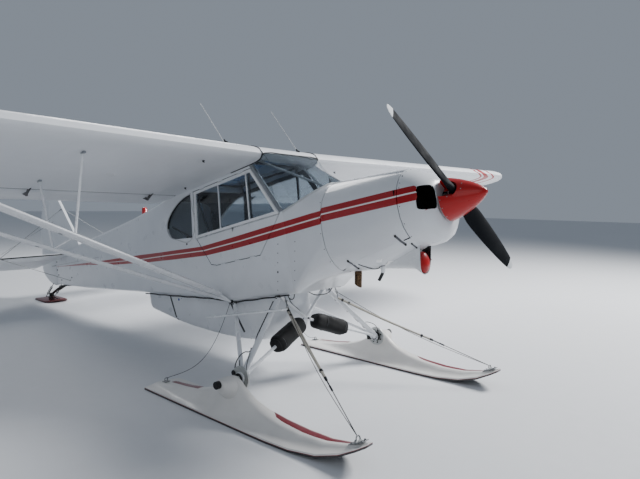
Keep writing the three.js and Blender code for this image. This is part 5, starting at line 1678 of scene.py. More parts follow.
@dataclass
class CabinShell:
    """Fabric sides, doors, windows, windshield and their frames."""

    shop: Workshop
    post_foot: tuple[float, float] = (129, -512)
    post_top: tuple[float, float] = (-152, -50)
    base_line: tuple[Pair, ...] = (
        (131, -512), (175, -502), (220, -491), (330, -452), (420, -402), (480, -364), (498, -352)
    )
    rear_window: tuple[Pair, ...] = (
        (-1046, -110), (-1190, -134), (-1322, -186), (-1425, -250), (-1488, -322), (-1502, -380),
        (-1490, -430), (-1455, -472), (-1400, -495), (-1103, -530),
    )

    def build(self) -> None:
        """Dresses the shell and doors and adds frames, seals, screws and the doors' small parts."""
        for node in ("cabin_shell", "door_lower"):
            self.shop.dress(node, FABRIC_ENAMEL, Slot.WHITE, 32)
        self.shop.dress("door_upper", TUBE_ENAMEL, Slot.WHITE, 32, 2.5)
        self.shop.dress("roof", WING_FABRIC, Slot.WHITE, 32)
        self.shop.dress("rear_fuselage", FABRIC_ENAMEL, Slot.WHITE, 32)
        for node in ("side_window_left", "rear_window_left", "rear_window_right", "door_upper_window"):
            self.shop.recolour(node, WINDOW)
        self.shop.dress("windshield", WINDOW, Slot.GLASS, 50)
        self.shop.dress("skylight", TINTED, Slot.GLASS, 50)
        self.shop.dress("windshield_brace", TUBE_ENAMEL, Slot.STEEL, 50)
        self.door_posts()
        self.windshield_seal()
        self.window_dividers()
        self.rear_window_trim()
        self.side_screws()
        self.door_furniture()

    def door_posts(self) -> None:
        """Adds the bright channel on each slanted door post, with its two ridges."""
        bm = bmesh.new()
        (x0, z0), (x1, z1) = self.post_foot, self.post_top
        for _, side in SIDES:
            out = Vector((0, side, 0))
            for offset, width, lift in ((-16, 36, 2.5), (-29, 6, 7), (-4, 6, 7)):
                points = [
                    Vector((x0 + (x1 - x0) * t + offset, side * 345.2, z0 + (z1 - z0) * t)) for t in shares(8)
                ]
                add_ribbon(bm, points, [out] * len(points), width, lift)
            for step in range(7):
                t = (step + 0.5) / 7
                point = Vector((x0 + (x1 - x0) * t - 16, side * 347, z0 + (z1 - z0) * t))
                add_screw(bm, (point, out), 3.2, 1.6)
        finish_piece("door_post_channels", bm, ALUMINIUM)

    def windshield_seal(self) -> None:
        """Lays the pale seal strip round the foot of the windshield, and the black one under the wing."""
        skin = Skin(self.shop.frame, ("boot_cowl", "windshield"))
        points, normals = [], []
        for side in (-1, 1):
            half = []
            for x, z in self.base_line:
                spot = skin.side(x, z - 9, side)
                if spot:
                    half.append((spot[0] + Vector((0, 0, 4)), Vector((0.25, side * 0.8, 0.55)).normalized()))
            if side > 0:
                half.reverse()
            points += [h[0] for h in half]
            normals += [h[1] for h in half]
        bm = bmesh.new()
        add_ribbon(bm, points, normals, 24, 3)
        finish_piece("windshield_seal", bm, PALE_SEAL)
        edge = bmesh.new()
        top = [
            (-150, 346, -52), (-100, 346.5, -50), (-40, 346, -44), (6, 345, -8), (12, 300, 4), (13, 150, 7)
        ]
        line = [(x, -y, z) for x, y, z in top] + [(13, 0, 7)] + top[::-1]
        add_bend(edge, line, 5)
        finish_piece("windshield_top_seal", edge, RUBBER_AND_SHADE)

    def window_dividers(self) -> None:
        """Adds two thin upright frames on each long side window."""
        for body, side, name in (("door_upper", -1, "right"), ("airframe", 1, "left")):
            bm = bmesh.new()
            for (x0, z0), (x1, z1) in (((-252, -104), (-284, -528)), ((-637, -112), (-685, -534))):
                for y, out, thickness in ((333, side, 5), (323, -side, 4)):
                    points = [Vector((x0 + (x1 - x0) * t, side * y, z0 + (z1 - z0) * t)) for t in shares(6)]
                    add_ribbon(bm, points, [Vector((0, out, 0))] * len(points), 8, thickness)
            finish_piece(f"window_dividers_{name}", bm, TUBE_ENAMEL, body)

    def rear_window_trim(self) -> None:
        """Runs a pale rubber trim round each rear side window."""
        for tag, side in SIDES:
            bm = bmesh.new()
            outline = [(x, side * 346, z) for x, z in self.rear_window]
            add_bend(bm, [*outline, outline[0]], 5)
            finish_piece(f"rear_window_trim_{tag}", bm, PALE_SEAL)

    def side_screws(self) -> None:
        """Sets the screws and the larger cover plate that show on the fabric's front edge."""
        skin = Skin(self.shop.frame, ("cabin_shell", "door_lower"))
        bm = bmesh.new()
        for _, side in SIDES:
            for x, z, r in (
                (28, -767, 5), (13, -839, 5), (-3, -915, 5), (-18, -991, 10), (-34, -1067, 5), (-48, -1136, 5)
            ):
                add_screw(bm, skin.side(x, z, side), r, 1.8, 14)
        finish_piece("cabin_side_screws", bm, DARK_STEEL)

    def door_furniture(self) -> None:
        """Adds the sill bead, the side lock and the upper door's latch."""
        bead = bmesh.new()
        add_bend(bead, [(84, -342, -527), (-480, -342, -539), (-1054, -342, -550)], 2.6)
        finish_piece("door_sill_bead", bead, TUBE_ENAMEL, "door_upper")
        lock = bmesh.new()
        add_rod(lock, (-1205, -344, -575), (-1205, -348.5, -575), 9, 16)
        add_block(lock, (-1205, -349, -575), (3, 3, 12), 0.5)
        finish_piece("side_lock", lock, DARK_STEEL)
        latch = bmesh.new()
        add_rod(latch, (-500, -346, -545), (-500, -352, -545), 9, 16)
        add_block(latch, (-500, -354, -552), (10, 5, 38), 2)
        finish_piece("upper_door_latch", latch, ZINC_STEEL, "door_upper")


@dataclass
class Interior:
    """Seats, panel, dials, sticks, pedals and cabin tubes."""

    shop: Workshop
    pads: list[bpy.types.Object] = field(default_factory=list)
    panel_x: float = 148
    floor_lift: float = 27
    rear_floor_lift: float = 28
    tube_y: float = 304
    fill_frames: int = 20
    fill_pressure: float = 4.0
    most_swell: float = 0.012
    voxel_size: float = 0.006

    def build(self) -> None:
        """Builds what is seen through the windows."""
        self.shop.dress("instrument_panel", WRINKLE, Slot.TRIM, 40)
        self.seat("front_seat", -320, -640, 205, -905)
        self.seat("rear_seat", -980, -1260, 222, -905)
        self.dials()
        self.controls()
        self.tubes()
        self.puff_up()

    def pad(self, name: str, centre: Point, size: Point, tilt: float) -> bpy.types.Object:
        """Makes one cushion, a little smaller than it is when filled.

        Args:
            name: plain name.
            centre: its middle.
            size: length, width and thickness.
            tilt: lean back in degrees.

        Returns:
            The cushion before it is filled.
        """
        bm = bmesh.new()
        turn = Matrix.Rotation(math.radians(tilt), 4, "Y")
        bmesh.ops.create_cube(bm, size=1.0, matrix=Matrix.Diagonal((*size, 1)))
        bmesh.ops.bevel(
            bm, geom=bm.edges[:], offset=min(size) * 0.3, segments=3, profile=0.5, affect="EDGES", material=-1
        )
        bmesh.ops.transform(bm, matrix=Matrix.Translation(centre) @ turn, verts=bm.verts)
        piece = finish_piece(name, bm, SEAT_CLOTH, hard_degrees=60)
        self.pads.append(piece)
        return piece

    def seat(self, node: str, front_x: float, back_x: float, half: float, pan_z: float) -> None:
        """Builds a tube-framed seat with a cushion and a leaning back.

        Args:
            node: packed seat that it stands for.
            front_x: front of the cushion.
            back_x: where cushion and back meet.
            half: half of its width.
            pan_z: height of the seat's top.
        """
        length = front_x - back_x
        cushion = self.pad(
            f"{node}_cushion", ((front_x + back_x) / 2, 0, pan_z - 26), (length - 12, half * 2 - 16, 52), -2
        )
        self.pad(f"{node}_back", (back_x - 72, 0, pan_z + 208), (400, half * 2 - 22, 50), 77)
        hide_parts(node)
        bm = bmesh.new()
        for side in (-1, 1):
            y = side * (half - 16)
            back_top = (back_x - 118, y, pan_z + 425)
            add_bend(
                bm,
                [
                    (front_x - 10, y, pan_z - 62), (back_x - 30, y, pan_z - 62), (back_x - 58, y, pan_z + 40),
                    back_top
                ],
                9, False
            )
            for x in (front_x - 26, back_x - 10):
                add_rod(bm, (x, y, pan_z - 62), (x, y, self.floor_z(x)), 9, 12)
        for x, z in ((front_x - 10, pan_z - 62), (back_x - 30, pan_z - 62), (back_x - 118, pan_z + 425)):
            add_rod(bm, (x, -half + 16, z), (x, half - 16, z), 9, 12)
        finish_piece(f"{node}_frame", bm, DARK_STEEL)

    def floor_z(self, x: float) -> float:
        """Gives the floor's height under a seat leg."""
        (x0, z0), (x1, z1) = BELLY_LINE[2:4]
        if x > x0:
            return belly_z(x) + self.floor_lift
        return z0 + (x - x0) / (x1 - x0) * (z1 - z0) + self.rear_floor_lift

    def dials(self) -> None:
        """Sets round instruments with plain ticks and needles in the panel, and switches under them."""
        bm = bmesh.new()
        places = [(-165, -585, 34), (-80, -580, 40), (10, -580, 40), (100, -580, 40), (185, -590, 34)]
        places += [(-120, -672, 34), (-35, -672, 40), (60, -672, 34), (140, -676, 28)]
        face_x = self.panel_x
        for y, z, radius in places:
            start = len(bm.faces)
            add_turned(
                bm, [(0, radius + 6), (-7, radius + 5), (-8, radius), (-3, radius - 3), (-2, 0)],
                (face_x, y, z), (face_x + 10, y, z), 28
            )
            paint_faces(bm, start, 0)
            start = len(bm.faces)
            for tick in range(12):
                angle = math.radians(tick * 30)
                spot = (face_x - 3.4, y + (radius - 8) * math.sin(angle), z + (radius - 8) * math.cos(angle))
                add_block(bm, spot, (0.8, 2.2, 7), 0, Matrix.Rotation(-angle, 4, "X"))
            lean = math.radians((y * 7 + z) % 300)
            tip = (face_x - 3.6, y + radius * 0.6 * math.sin(lean), z + radius * 0.6 * math.cos(lean))
            add_rod(bm, (face_x - 3.6, y, z), tip, 1.6, 6, 0.5)
            paint_faces(bm, start, 1)
        start = len(bm.faces)
        for step in range(6):
            y = -150 + step * 24
            add_rod(bm, (face_x, y, -735), (face_x - 12, y, -729), 3, 8)
        add_rod(bm, (face_x, 120, -735), (face_x - 30, 120, -735), 4, 10)
        add_ball(bm, (face_x - 34, 120, -735), (9, 13, 13), 14)
        paint_faces(bm, start, 2)
        finish_piece("instruments", bm, [DIAL_FACE, DIAL_MARK, ZINC_STEEL])
        compass = bmesh.new()
        add_block(compass, (250, 0, -438), (46, 52, 50), 10)
        add_rod(compass, (226, 0, -438), (222, 0, -438), 19, 24)
        add_rod(compass, (250, 0, -490), (250, 0, -460), 6, 10)
        finish_piece("compass", compass, WRINKLE)

    def controls(self) -> None:
        """Adds both control sticks, the pedals and the throttle levers."""
        bm = bmesh.new()
        grips = bmesh.new()
        for x in (-215, -905):
            low = self.floor_z(x)
            add_bend(
                bm, [(x + 30, 0, low), (x + 30, 0, low + 60), (x + 4, 0, low + 230), (x, 0, low + 330)], 10
            )
            add_rod(grips, (x, 0, low + 300), (x - 6, 0, low + 400), 15, 16, 17)
            add_ball(grips, (x - 6, 0, low + 400), (17, 17, 12), 16)
        for y in (-150, -70, 70, 150):
            add_bend(bm, [(330, y, -1060), (322, y, -1000), (310, y, -965)], 7, False)
            add_rod(bm, (310, y - 34, -965), (310, y + 34, -965), 8, 12)
        add_bend(bm, [(-120, 300, -700), (-100, 296, -650), (-96, 290, -625)], 4)
        add_bend(bm, [(-160, 300, -700), (-150, 296, -660), (-148, 290, -640)], 4)
        for x, z in ((-96, -620), (-148, -634)):
            add_ball(grips, (x, 290, z), (13, 13, 13), 14)
        finish_piece("control_levers", bm, ZINC_STEEL)
        finish_piece("control_grips", grips, RUBBER_AND_SHADE)

    def tubes(self) -> None:
        """Adds the painted frame tubes that stand inside the windows."""
        bm = bmesh.new()
        for _, side in SIDES:
            y = side * self.tube_y
            add_rod(bm, (-330, y, -900), (-232, y, -20), 10, 12)
            add_rod(bm, (-790, y, -840), (-1040, y, -20), 10, 12)
            add_rod(bm, (110, y, -520), (-1090, y, -562), 10, 12)
            add_rod(bm, (-232, y, -20), (-1040, y, -20), 10, 12)
            add_rod(bm, (-1090, y, -562), (-1480, side * 296, -360), 9, 12)
        add_rod(bm, (-232, -300, -16), (-232, 300, -16), 12, 12)
        add_rod(bm, (-1040, -300, -20), (-1040, 300, -20), 12, 12)
        finish_piece("cabin_tubes", bm, DARK_STEEL)

    def puff_up(self) -> None:
        """Fills the pads by a short cloth simulation with inner pressure and caps how far they swell."""
        if not self.pads:
            return
        scene = bpy.context.scene
        rests = {}
        for piece in self.pads:
            remesh = piece.modifiers.new("remesh", "REMESH")
            remesh.mode = "VOXEL"
            remesh.voxel_size = self.voxel_size
            bpy.context.view_layer.update()
            mesh = bpy.data.meshes.new_from_object(piece.evaluated_get(bpy.context.evaluated_depsgraph_get()))
            piece.modifiers.clear()
            piece.data = mesh
            rests[piece.name] = [v.co.copy() for v in mesh.vertices]
            cloth = piece.modifiers.new("fill", "CLOTH")
            cloth.settings.use_pressure = True
            cloth.settings.uniform_pressure_force = self.fill_pressure
            cloth.settings.quality = 4
            cloth.settings.effector_weights.gravity = 0.0
            cloth.point_cache.frame_start = 1
            cloth.point_cache.frame_end = self.fill_frames
        for frame_number in range(1, self.fill_frames + 1):
            scene.frame_set(frame_number)
        graph = bpy.context.evaluated_depsgraph_get()
        for piece in self.pads:
            mesh = bpy.data.meshes.new_from_object(piece.evaluated_get(graph))
            for vert, start in zip(mesh.vertices, rests[piece.name]):
                move = vert.co - start
                if move.length > self.most_swell:
                    vert.co = start + move.normalized() * self.most_swell
            piece.modifiers.clear()
            piece.data = mesh
            mesh.materials.clear()
            mesh.materials.append(SEAT_CLOTH.material())
            for face in mesh.polygons:
                face.use_smooth = True
            LOG.info("%s: filled, %d faces", piece.name, len(mesh.polygons))
        scene.frame_set(1)


@dataclass
class WingSet:
    """Both wings with flaps, ailerons, struts and what is fastened to them."""

    shop: Workshop
    seal_x: tuple[float, ...] = (-420, -300, -200, -120, -60, -25, -8)
    jury_y: float = 1726
    jury_share: float = 0.482

    def build(self) -> None:
        """Dresses the surfaces and adds root seals, caps, rings, lamps and strut fittings."""
        for tag, _ in SIDES:
            for node in (f"wing_{tag}", f"flap_{tag}", f"aileron_{tag}"):
                self.shop.dress(node, WING_FABRIC, Slot.WHITE, 38)
            self.shop.dress(f"lift_struts_{tag}", TUBE_ENAMEL, Slot.WHITE, 50)
        self.root_seals()
        self.fittings()
        self.strut_collars()
        self.lamps()

    def root_seals(self) -> None:
        """Runs a black rubber seal round each wing root's leading edge."""
        bm = bmesh.new()
        for tag, side in SIDES:
            skin = Skin(self.shop.frame, (f"wing_{tag}",))
            under = [skin.below(x, side * 352) for x in self.seal_x]
            over = [skin.above(x, side * 352) for x in reversed(self.seal_x)]
            points = [spot[0] + Vector((0, -side * 4, -2)) for spot in under if spot]
            points.append((4, side * 348, 1))
            points += [spot[0] + Vector((0, -side * 4, 2)) for spot in over if spot]
            add_bend(bm, points, 5)
        finish_piece("wing_root_seals", bm, RUBBER_AND_SHADE)

    def fittings(self) -> None:
        """Adds fuel caps, tie-down rings and inspection covers."""
        caps = bmesh.new()
        small = bmesh.new()
        for tag, side in SIDES:
            skin = Skin(self.shop.frame, (f"wing_{tag}",))
            top = skin.above(-560, side * 700)
            if top:
                point, normal = top
                add_turned(
                    caps, [(-1, 48), (3, 46), (4, 30), (11, 29), (13, 24), (13, 0)], point,
                    point + normal * 10, 32
                )
                add_block(caps, point + normal * 15, (46, 9, 6), 2)
            for x, y in ((-187, 811), (-965, 452), (-230, 3240), (-1050, 3200)):
                spot = skin.below(x, side * y)
                if spot:
                    point, normal = spot
                    add_rod(small, point - normal, point + normal * 4, 11, 12)
                    add_rod(small, point + Vector((-9, 0, -8)), point + Vector((9, 0, -16)), 4, 10)
            for y in (1300, 2300, 3600, 4500):
                add_screw(caps, skin.below(-700, side * y), 46, 0.9, 28)
        finish_piece("wing_caps_and_covers", caps, TUBE_ENAMEL)
        finish_piece("wing_rings", small, DARK_STEEL)

    def skin_z(self, x: float, y: float) -> float:
        """Gives the height of the wing's lower skin at a station."""
        return WING_SKIN_Z + WING_INCIDENCE * x + (y - WING_ROOT_Y) * WING_RISE

    def strut_collars(self) -> None:
        """Adds the dark clamps where the jury struts meet the lift struts and the wing."""
        bm = bmesh.new()
        for _, side in SIDES:
            for x0, x1, top_x, top_y in ((-215, -748, -262, 3170), (-1040, -790, -994, 3130)):
                top = Vector((x0, side * top_y, self.skin_z(x0, top_y) + 4))
                low = Vector((x1, side * 405, -1092 if x0 > -500 else -1118))
                middle = top.lerp(low, self.jury_share)
                lean = (low - top).normalized()
                add_block(bm, middle, (34, 26, 20), 4)
                add_rod(bm, middle - lean * 14, middle + lean * 14, 23 if x0 > -500 else 17, 18)
                jury_z = self.skin_z(top_x, self.jury_y)
                add_block(bm, (top_x, side * self.jury_y, jury_z - 8), (44, 20, 14), 3)
                end = top.lerp(low, 0.992)
                add_rod(bm, (end.x, end.y - 22, end.z), (end.x, end.y + 22, end.z), 8, 12)
        finish_piece("strut_clamps", bm, ALUMINIUM)

    def lamps(self) -> None:
        """Adds the small clear lamp on each wing tip."""
        bm = bmesh.new()
        for tag, side in SIDES:
            skin = Skin(self.shop.frame, (f"wing_{tag}",))
            spot = skin.cast((-520, side * 6200, 82), (0, -side, 0))
            y = side * 5355 if spot is None else spot[0].y
            add_ball(bm, (-520, y - side * 2, 82), (32, 11, 11), 20)
        finish_piece("tip_lamps", bm, LAMP_LENS)


@dataclass
class TailGroup:
    """Fin, rudder, stabilizers, elevators, their wires and fittings."""

    shop: Workshop

    def build(self) -> None:
        """Dresses the surfaces with rounded edges and adds fittings, strips, wires and the lamp."""
        for node in (
            "fin", "rudder", "stabilizer_left", "stabilizer_right", "elevator_left", "elevator_right"
        ):
            self.shop.dress(node, TAIL_FABRIC, Slot.WHITE, 40, 11, long_edge(70))
        for tag, _ in SIDES:
            self.shop.dress(f"tail_stay_{tag}", ZINC_STEEL, Slot.STEEL, 50)
        self.fittings()
        self.leading_edges()
        self.wires_and_lugs()
        light = bmesh.new()
        add_turned(light, [(0, 14), (26, 13), (34, 8), (37, 0)], (-5450, 0, -262), (-5490, 0, -262), 20)
        finish_piece("rudder_lamp", light, LAMP_LENS, "rudder")

    def fittings(self) -> None:
        """Adds the wires' end fittings, the elevator cables and their horns."""
        bm = bmesh.new()
        for _, side in SIDES:
            add_block(bm, (-4590, side * 21, 440), (34, 6, 16), 2)
            add_block(bm, (-4446, side * 930, -218), (40, 16, 8), 2)
            add_block(bm, (-4446, side * 930, -262), (40, 16, 8), 2)
            add_block(bm, (-4440, side * 66, -600), (40, 8, 18), 2)
            add_bend(bm, [(-3300, side * 178, -420), (-4200, side * 96, -372), (-4960, side * 62, -330)], 1.8)
            add_block(bm, (-4985, side * 40, -330), (14, 62, 8), 2)
        finish_piece("tail_fittings", bm, ZINC_STEEL)

    def leading_edges(self) -> None:
        """Wraps the black abrasion strip round each stabilizer's leading edge."""
        bm = bmesh.new()
        for tag, side in SIDES:
            skin = Skin(self.shop.frame, (f"stabilizer_{tag}",))
            points = []
            for step in range(15):
                spot = skin.cast((-3000, side * (110 + step * 102), -240), (-1, 0, 0))
                if spot:
                    points.append(spot[0] - Vector((10, 0, 0)))
            add_bend(bm, points, 14)
        finish_piece("stabilizer_edge_strips", bm, RUBBER_AND_SHADE)

    def wires_and_lugs(self) -> None:
        """Adds the rear pair of upper wires and the dark lugs down the sternpost."""
        wires = bmesh.new()
        lugs = bmesh.new()
        skin = Skin(self.shop.frame, ("rear_fuselage", "fin"))
        for _, side in SIDES:
            add_rod(wires, (-4896, side * 16, 319), (-4840, side * 930, -226), 2.6, 10)
            add_block(wires, (-4840, side * 930, -222), (34, 16, 8), 2)
            for x, z in ((-4911, -281), (-4928, -398), (-4887, -477), (-4782, -561), (-4361, -569)):
                add_screw(lugs, skin.side(x, z, side), 12, 6, 12)
        finish_piece("rear_tail_wires", wires, ZINC_STEEL)
        finish_piece("sternpost_lugs", lugs, DARK_STEEL)


@dataclass
class Gear:
    """Gear legs, brakes, shock struts under their covers, cabane and step."""

    shop: Workshop
    nut_profile: tuple[Pair, ...] = ((0, 20), (0, 27), (3, 28), (32, 28), (35, 25), (35, 0))
    vertex: Point = (-104, 0, -1416)
    cover_ends: Pair = (0.07, 0.53)
    cover_profile: tuple[Pair, ...] = (
        (0, 26), (0.015, 46), (0.05, 63), (0.13, 69), (0.3, 68), (0.45, 70), (0.6, 69), (0.75, 71),
        (0.88, 71), (0.94, 64), (0.96, 52), (0.98, 60), (1.0, 40),
    )
    most_cover: float = 79
    disc_y: float = 857

    def build(self) -> None:
        """Dresses the tubes and adds covers, brakes, hoses and pins."""
        for node in ("gear_leg_left", "gear_leg_right", "cabane"):
            self.shop.dress(node, TUBE_ENAMEL, Slot.WHITE, 50)
        self.shop.dress("step_board", TUBE_ENAMEL, Slot.WHITE, 40, 3, long_edge(20))
        for tag, side in SIDES:
            self.shock(tag, side)
            self.brake(tag, side)
            self.hoses(tag, side)
        self.pins()
        self.belly_lines()

    def along_strut(self, side: int, share: float) -> Vector:
        """Gives a point on a shock strut, from the cabane down to the axle."""
        top = Vector((self.vertex[0], side * 20, self.vertex[2] - 6))
        low = Vector((AXLE_X, side * 828, AXLE_Z + 10))
        return top.lerp(low, share)

    def shock(self, tag: str, side: int) -> None:
        """Wraps the shock cords in their padded black cover, tied at both ends, over the white strut tube.

        Args:
            tag: left or right.
            side: 1 for left, -1 for right.
        """
        rod = bmesh.new()
        add_rod(rod, self.along_strut(side, 0.03), self.along_strut(side, 0.96), 13, 20)
        for share in (0.62, 0.74, 0.86):
            add_rod(rod, self.along_strut(side, share), self.along_strut(side, share + 0.018), 14.5, 20)
        end = self.along_strut(side, 0.955)
        add_ball(rod, end, (20, 20, 20), 18)
        finish_piece(f"shock_tube_{tag}", rod, TUBE_ENAMEL, hard_degrees=40)
        start, finish = (self.along_strut(side, share) for share in self.cover_ends)
        axis = (finish - start).normalized()
        across = axis.cross(Vector((1, 0, 0))).normalized()
        upward = axis.cross(across).normalized()
        length = (finish - start).length
        rings = []
        for index, (share, radius) in enumerate(self.cover_profile):
            ring = []
            for angle in angles(36):
                squarer = 1 / (abs(math.cos(angle)) ** 3 + abs(math.sin(angle)) ** 3) ** (1 / 3)
                fold = 1 + 0.02 * math.sin(3 * angle + index * 0.9) + 0.02 * math.sin(7 * angle - index * 1.7)
                size = min(radius * fold * squarer, self.most_cover)
                out = across * math.cos(angle) + upward * math.sin(angle)
                ring.append(start + axis * share * length + out * size)
            rings.append(ring)
        cover = bmesh.new()
        add_skin(cover, rings)
        piece = finish_piece(f"shock_cover_{tag}", cover, COVER_CLOTH, hard_degrees=70)
        surface = piece.modifiers.new("round", "SUBSURF")
        surface.levels = surface.render_levels = 2
        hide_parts(f"shock_strut_{tag}")
        straps = bmesh.new()
        for share in (0.3, 0.86):
            at = start + axis * share * length
            ring = []
            for t in shares(24):
                angle = math.tau * t
                ring.append(at + (across * math.cos(angle) + upward * math.sin(angle)) * 72.5)
            add_bend(straps, ring, 2.6)
        finish_piece(f"shock_cover_ties_{tag}", straps, WEBBING)

    def brake(self, tag: str, side: int) -> None:
        """Adds the brake's disc, caliper and bolts inside the ski mound, and the axle's end nut.

        Args:
            tag: left or right.
            side: 1 for left, -1 for right.
        """
        x, z = AXLE_X, AXLE_Z
        disc = bmesh.new()
        add_turned(
            disc, [(0, 40), (0, 87), (1.5, 88), (12.5, 88), (14, 87), (14, 40)], (x, side * self.disc_y, z),
            (x, side * 900, z), 48
        )
        finish_piece(f"brake_disc_{tag}", disc, DISC_STEEL)
        bm = bmesh.new()
        for degrees in range(0, 360, 45):
            angle = math.radians(degrees + 10)
            y = side * self.disc_y
            bx, bz = x + 62 * math.cos(angle), z + 62 * math.sin(angle)
            add_rod(bm, (bx, y - side * 8, bz), (bx, y + side * 2, bz), 7, 6)
        add_turned(
            bm, [(0, 18), (0, 44), (5, 49), (26, 49), (28, 44), (28, 20)], (x, side * 828, z),
            (x, side * 870, z), 36
        )
        for turn in (-0.35, 0.35):
            cx, cz = x - 70 * math.cos(turn), z + 70 * math.sin(turn) + 14
            add_rod(bm, (cx, side * 838, cz), (cx, side * 878, cz), 20, 20)
        add_block(bm, (x - 74, side * 848, z + 14), (46, 26, 86), 6)
        finish_piece(f"brake_caliper_{tag}", bm, BLACK_ENAMEL)
        nut = bmesh.new()
        add_turned(nut, self.nut_profile, (x, side * 1064, z), (x, side * 1120, z), 24)
        finish_piece(f"axle_nut_{tag}", nut, BLACK_ENAMEL)

    def hoses(self, tag: str, side: int) -> None:
        """Runs the black brake hose down the leg, with its loops and clips.

        Args:
            tag: left or right.
            side: 1 for left, -1 for right.
        """
        bm = bmesh.new()
        top = Vector((-83, side * 322, -1206))
        foot = Vector((-23, side * 848, -1712))
        line = [top.lerp(foot, t) + Vector((-37, side * 4, 6)) for t in (0.04, 0.25, 0.5, 0.72)]
        loop = [
            (-88, side * 742, -1560), (-120, side * 790, -1600), (-112, side * 838, -1668),
            (-96, side * 850, -1700),
        ]
        add_bend(bm, [*line, *loop], 4.2)
        pipe = [
            (-60, 720, -1570), (-10, 770, -1580), (22, 830, -1636), (10, 842, -1690), (-50, 838, -1668),
            (-90, 800, -1610),
        ]
        add_bend(bm, [(x, side * y, z) for x, y, z in pipe], 3.2)
        for share in (0.2, 0.45, 0.68):
            at = top.lerp(foot, share)
            add_rod(bm, at + Vector((-34, 0, 10)), at + Vector((-34, side * 6, -8)), 8, 10)
        finish_piece(f"brake_hose_{tag}", bm, RUBBER_AND_SHADE)

    def pins(self) -> None:
        """Adds bolts at the cabane, the leg tops and the strut feet."""
        bm = bmesh.new()
        vx, _, vz = self.vertex
        add_rod(bm, (vx - 34, 0, vz), (vx + 34, 0, vz), 8, 12)
        for _, side in SIDES:
            for x in (-83, -640):
                add_block(bm, (x, side * 322, -1192), (54, 12, 26), 4)
                add_rod(bm, (x, side * 308, -1202), (x, side * 344, -1202), 8, 6)
            add_block(bm, (-668, side * 340, -1180), (60, 10, 30), 4)
            add_rod(bm, (-748, side * 380, -1092), (-748, side * 432, -1092), 7, 6)
            add_rod(bm, (-790, side * 382, -1118), (-790, side * 428, -1118), 6, 6)
        finish_piece("gear_pins", bm, DARK_STEEL)

    def belly_lines(self) -> None:
        """Hangs the short black hoses under the belly between the front gear fittings."""
        bm = bmesh.new()
        add_bend(bm, [(-40, -250, -1188), (-30, -238, -1222), (-20, -214, -1228), (-16, -190, -1192)], 4)
        add_bend(
            bm, [(20, -60, -1188), (34, 0, -1222), (40, 90, -1232), (36, 180, -1226), (20, 262, -1190)], 4
        )
        add_bend(bm, [(-80, -210, -1188), (-96, -160, -1262), (-100, -80, -1330), (-102, -20, -1392)], 3.5)
        finish_piece("belly_hoses", bm, RUBBER_AND_SHADE)


@dataclass
class BellyPod:
    """Fibreglass cargo pod with a black strip of painted shade along its edges, and straps."""

    shop: Workshop
    half_width: float = 345
    strap_width: float = 22

    def build(self) -> None:
        """Dresses the shell and adds the black edge strip of painted shade, two straps and the sticker."""
        self.shop.dress("belly_pod", POD_GELCOAT, Slot.WHITE, 42)
        skin = Skin(self.shop.frame, ("belly_pod",))
        self.edge_shade_strip()
        self.straps(skin)
        self.sticker(skin)

    def edge_shade_strip(self) -> None:
        """Runs a black strip along the pod's upper edges, a little uneven: painted shade of the recess
        between pod and fuselage.
        """
        edge_shade_strip = bmesh.new()
        for _, side in SIDES:
            points = []
            for step in range(34):
                x = 60 - step * 2180 / 33
                wobble = 2.0 * math.sin(step * 1.7)
                inset = 14 if x > -1640 else 14 + (-1640 - x) * 0.06
                points.append((x, side * (self.half_width - inset), belly_z(x) - 1 + wobble))
            add_bend(edge_shade_strip, points, 6.5)
        finish_piece("pod_edge_shade_strip", edge_shade_strip, RUBBER_AND_SHADE)

    def straps(self, skin: Skin) -> None:
        """Lays a webbing strap round each end of the pod, down one side and up the other.

        Args:
            skin: surface of the pod.
        """
        for name, x0, z0, slope, drop in (("rear", -1682, -1085, 0.295, 36), ("front", -663, -1335, 0.5, 90)):
            heights = [belly_z(x0) - 8 - step * drop for step in range(9)]
            half = [spot for spot in (skin.side(x0 + (z0 - z) * slope, z, -1) for z in heights) if spot]
            last_x = half[-1][0].x
            half += [spot for spot in (skin.below(last_x + 14, y) for y in (-230, -140, -50)) if spot]
            line = half + [(mirrored(point), mirrored(normal)) for point, normal in reversed(half)]
            bm = bmesh.new()
            add_ribbon(bm, [spot[0] for spot in line], [spot[1] for spot in line], self.strap_width, 2.5)
            finish_piece(f"pod_strap_{name}", bm, WEBBING)

    def sticker(self, skin: Skin) -> None:
        """Sticks the plain round sticker and a small dot on the pod's right side.

        Args:
            skin: surface of the pod.
        """
        sticker = bmesh.new()
        for x, z, radius, sides in ((-1548, -1092, 17, 28), (-1500, -1086, 5, 14)):
            add_screw(sticker, skin.side(x, z, -1), radius, 0.5, sides)
        finish_piece("round_sticker", sticker, BLUE_STICKER)


